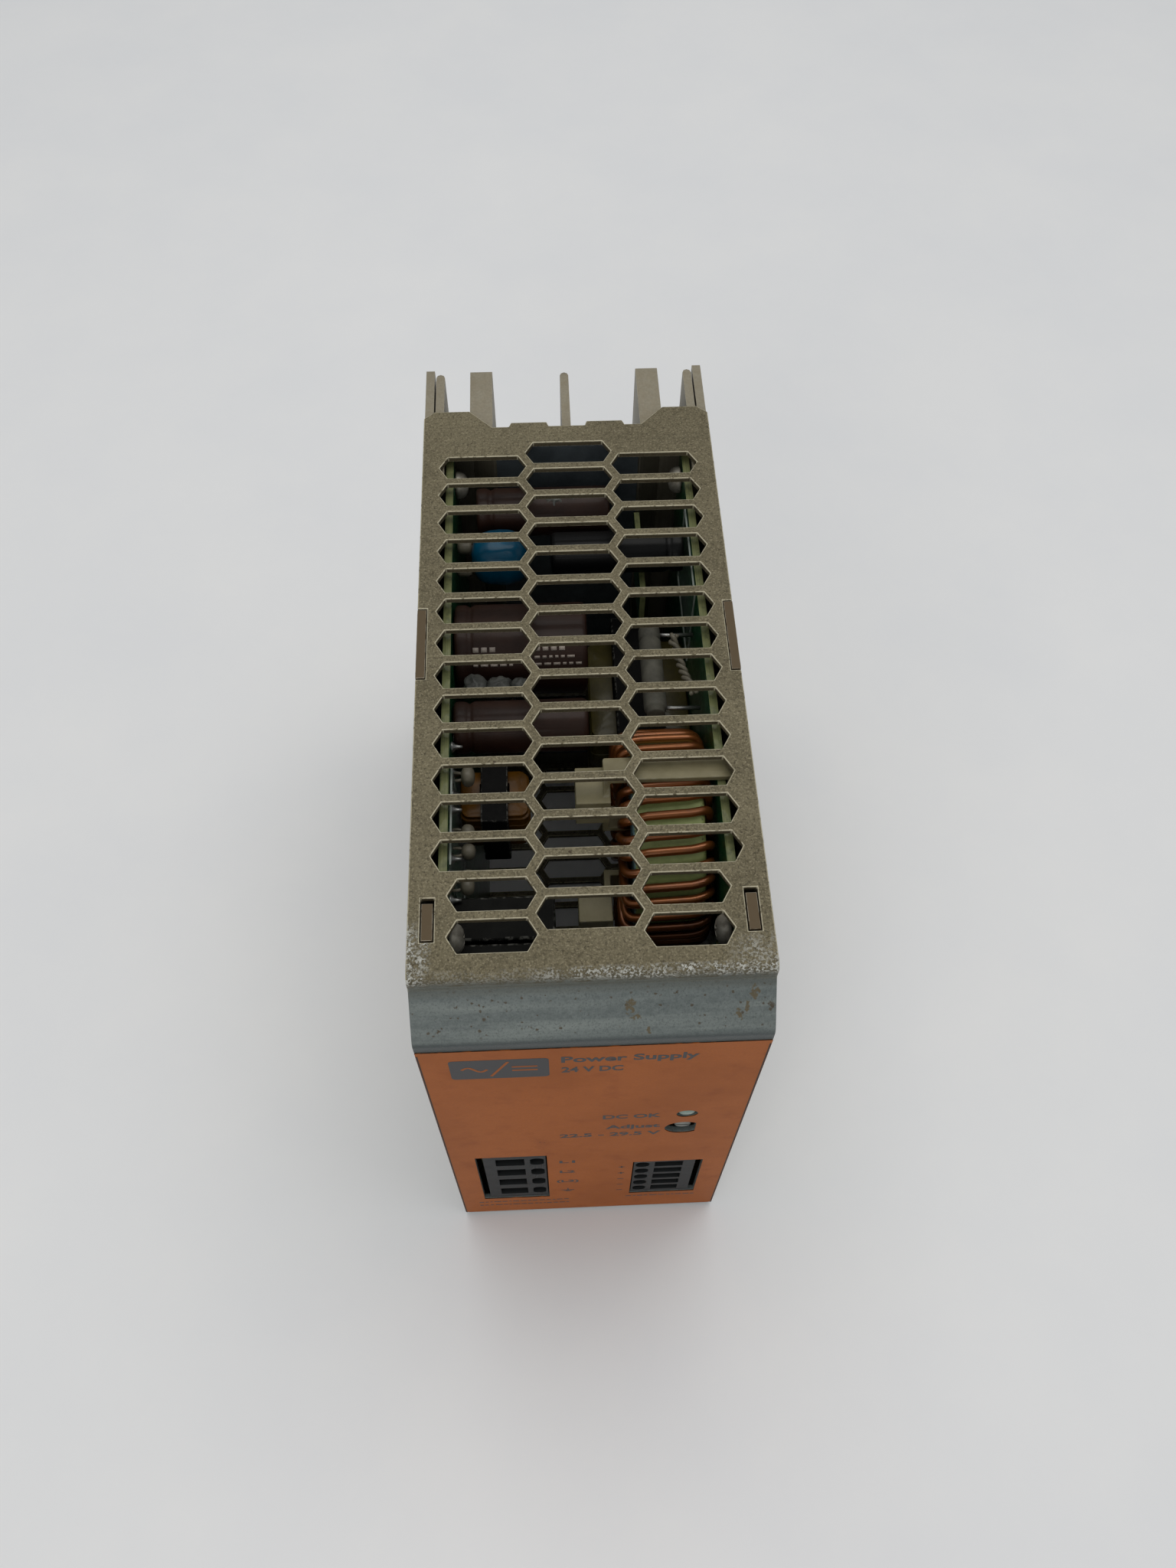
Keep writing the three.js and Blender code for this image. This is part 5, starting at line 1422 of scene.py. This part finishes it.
def make_print():
    bm = bmesh.new()
    left, right, top, bottom = BLOCK
    corners = rounded_loop((right - left) / 2, (bottom - top) / 2, 0.9, 4)
    ink_block(bm, [((left + right) / 2 + x, (top + bottom) / 2 - y) for x, y in corners])
    for line in (("Power Supply", -5.6, 18.1, 20.0, 3.0), ("24 V DC", -5.6, 5.2, 25.3, 2.7),
                 ("DC OK", 2.1, 13.4, 54.5, 2.5), ("Adjust", 2.8, 13.6, 61.3, 2.4),
                 ("22.5 - 29.5 V", -6.4, 13.9, 66.3, 2.4)):
        ink_words(bm, *line)
    first, pitch = HEIGHT - 43.9, 8.2
    for k, words in enumerate(("L1", "L2", "(L3)")):
        wide = 3.4 if k < 2 else 5.0
        ink_words(bm, words, -5.0 - wide / 2, -5.0 + wide / 2, first + pitch * k, 1.9)
    earth = first + pitch * 3
    ink_line(bm, [(-5.0, earth - 1.5), (-5.0, earth)], 0.35)
    for k, half in enumerate((1.5, 1.0, 0.5)):
        ink_line(bm, [(-5.0 - half, earth + 0.55 * k), (-5.0 + half, earth + 0.55 * k)], 0.35)
    for k, words in enumerate("++---"):
        middle = HEIGHT - 37.7 + 5.08 * k
        ink_line(bm, [(6.2, middle), (7.6, middle)], 0.35)
        if words == "+":
            ink_line(bm, [(6.9, middle - 0.7), (6.9, middle + 0.7)], 0.35)
    rng = random.Random(9)
    for left, right, rows in ((-26.0, -4.8, (119.4, 122.4)), (8.6, 24.8, (119.0,))):
        for row in rows:
            x = left
            while x < right - 0.6:
                wide = min(rng.uniform(0.5, 1.8), right - x)
                ink_line(bm, [(x, row), (x + wide, row)], 0.6)
                x += wide + rng.uniform(0.25, 0.5)
    bmesh.ops.remove_doubles(bm, verts=bm.verts, dist=1e-7)
    return extra("label_print", bm, INK, smooth=False)


def make_signs_and_rim():
    signs = bmesh.new()
    converter_signs(signs)
    extra("converter_sign", signs, FINISHES["label_film"], smooth=False)
    low, high = box_mm("front_label")
    rim = bmesh.new()
    for x in (low.x + 0.2, high.x - 0.2):
        ink_line(rim, [(x, HEIGHT - high.z + 1.4), (x, HEIGHT - low.z - 0.1)], 0.3)
    extra("label_rim", rim, EDGE_INK, smooth=False)


make_label()
make_signs_and_rim()
print("label print:", len(make_print().data.polygons), "faces")

# %% [markdown]
# ## Glue, solder and small discs on the boards
#
# The tall parts are fixed with dabs of silicone against shaking. The left board's leads are
# soldered on its inner side in a row, and small pale disc capacitors stand among them.

# %% Silicone, solder and discs
def make_glue():
    bm = bmesh.new()
    for k, (centre, half) in enumerate((
            ((-19.6, 69.6, 122.6), (2.6, 2.6, 2.0)), ((-15.0, 69.8, 121.4), (3.0, 2.4, 2.4)),
            ((-11.0, 69.6, 121.8), (2.0, 2.2, 1.8)), ((-3.2, 114.6, 124.6), (2.6, 1.9, 1.5)),
            ((0.4, 115.4, 124.8), (2.0, 2.0, 1.3)))):
        soft_block(bm, centre, half, 2.0, 16, 24, 0.5, 3.0 + k)
    extra("silicone_dabs", bm, SILICONE)


def make_solder_row():
    bm = bmesh.new()
    rng = random.Random(6)
    y = 21.0
    while y < 66:
        z = HEIGHT - rng.uniform(7.0, 13.0)
        cone = [(0, 0), (0, 1.15), (0.25, 1.0), (0.7, 0.55), (1.3, 0.36), (2.0, 0.33), (2.0, 0)]
        turn_about(bm, cone, (-23.9, y, z), (1, 0, 0), 16)
        y += rng.uniform(3.0, 5.2)
    extra("solder_joints", bm, SOLDER)


def make_discs():
    """Disc parts standing off the left board on their leads."""
    bm = bmesh.new()
    for y, z, radius in ((62.5, 121.5, 2.0), (50.4, 121.0, 1.9), (39.0, 120.2, 1.6), (36.2, 118.4, 1.5),
                         (28.6, 120.0, 1.7), (31.6, 117.6, 1.3)):
        soft_block(bm, (-20.9, y, z), (1.3, radius, radius), 2.3, 14, 24, 0.05, 1.0)
        for side in (-0.8, 0.8):
            sweep(bm, [(-23.7, y + side, z), (-22.6, y + side, z), (-21.4, y + side / 2, z)], 0.3, 8)
    extra("disc_capacitors", bm, CREAM)


make_glue()
make_solder_row()
make_discs()
print("glue, solder and discs made")

# %% [markdown]
# ## The table it stands on
#
# A plain, nearly white table top.

# %% Floor
def make_floor():
    bm = bmesh.new()
    half = 1.6
    corners = [bm.verts.new((x * half, y * half, 0)) for x, y in ((-1, -1), (1, -1), (1, 1), (-1, 1))]
    bm.faces.new(corners)
    mesh = mesh_from(bm, "table_mesh", smooth=False)
    floor = bpy.data.objects.new("table", mesh)
    bpy.context.scene.collection.objects.link(floor)
    f = Finish("table_top", colour(238, 238, 238), rough=0.6)
    f.over(f.mottle(60.0, 0.35, 0.65), colour(232, 233, 235), None, 0.6)
    mesh.materials.append(f.done())


make_floor()
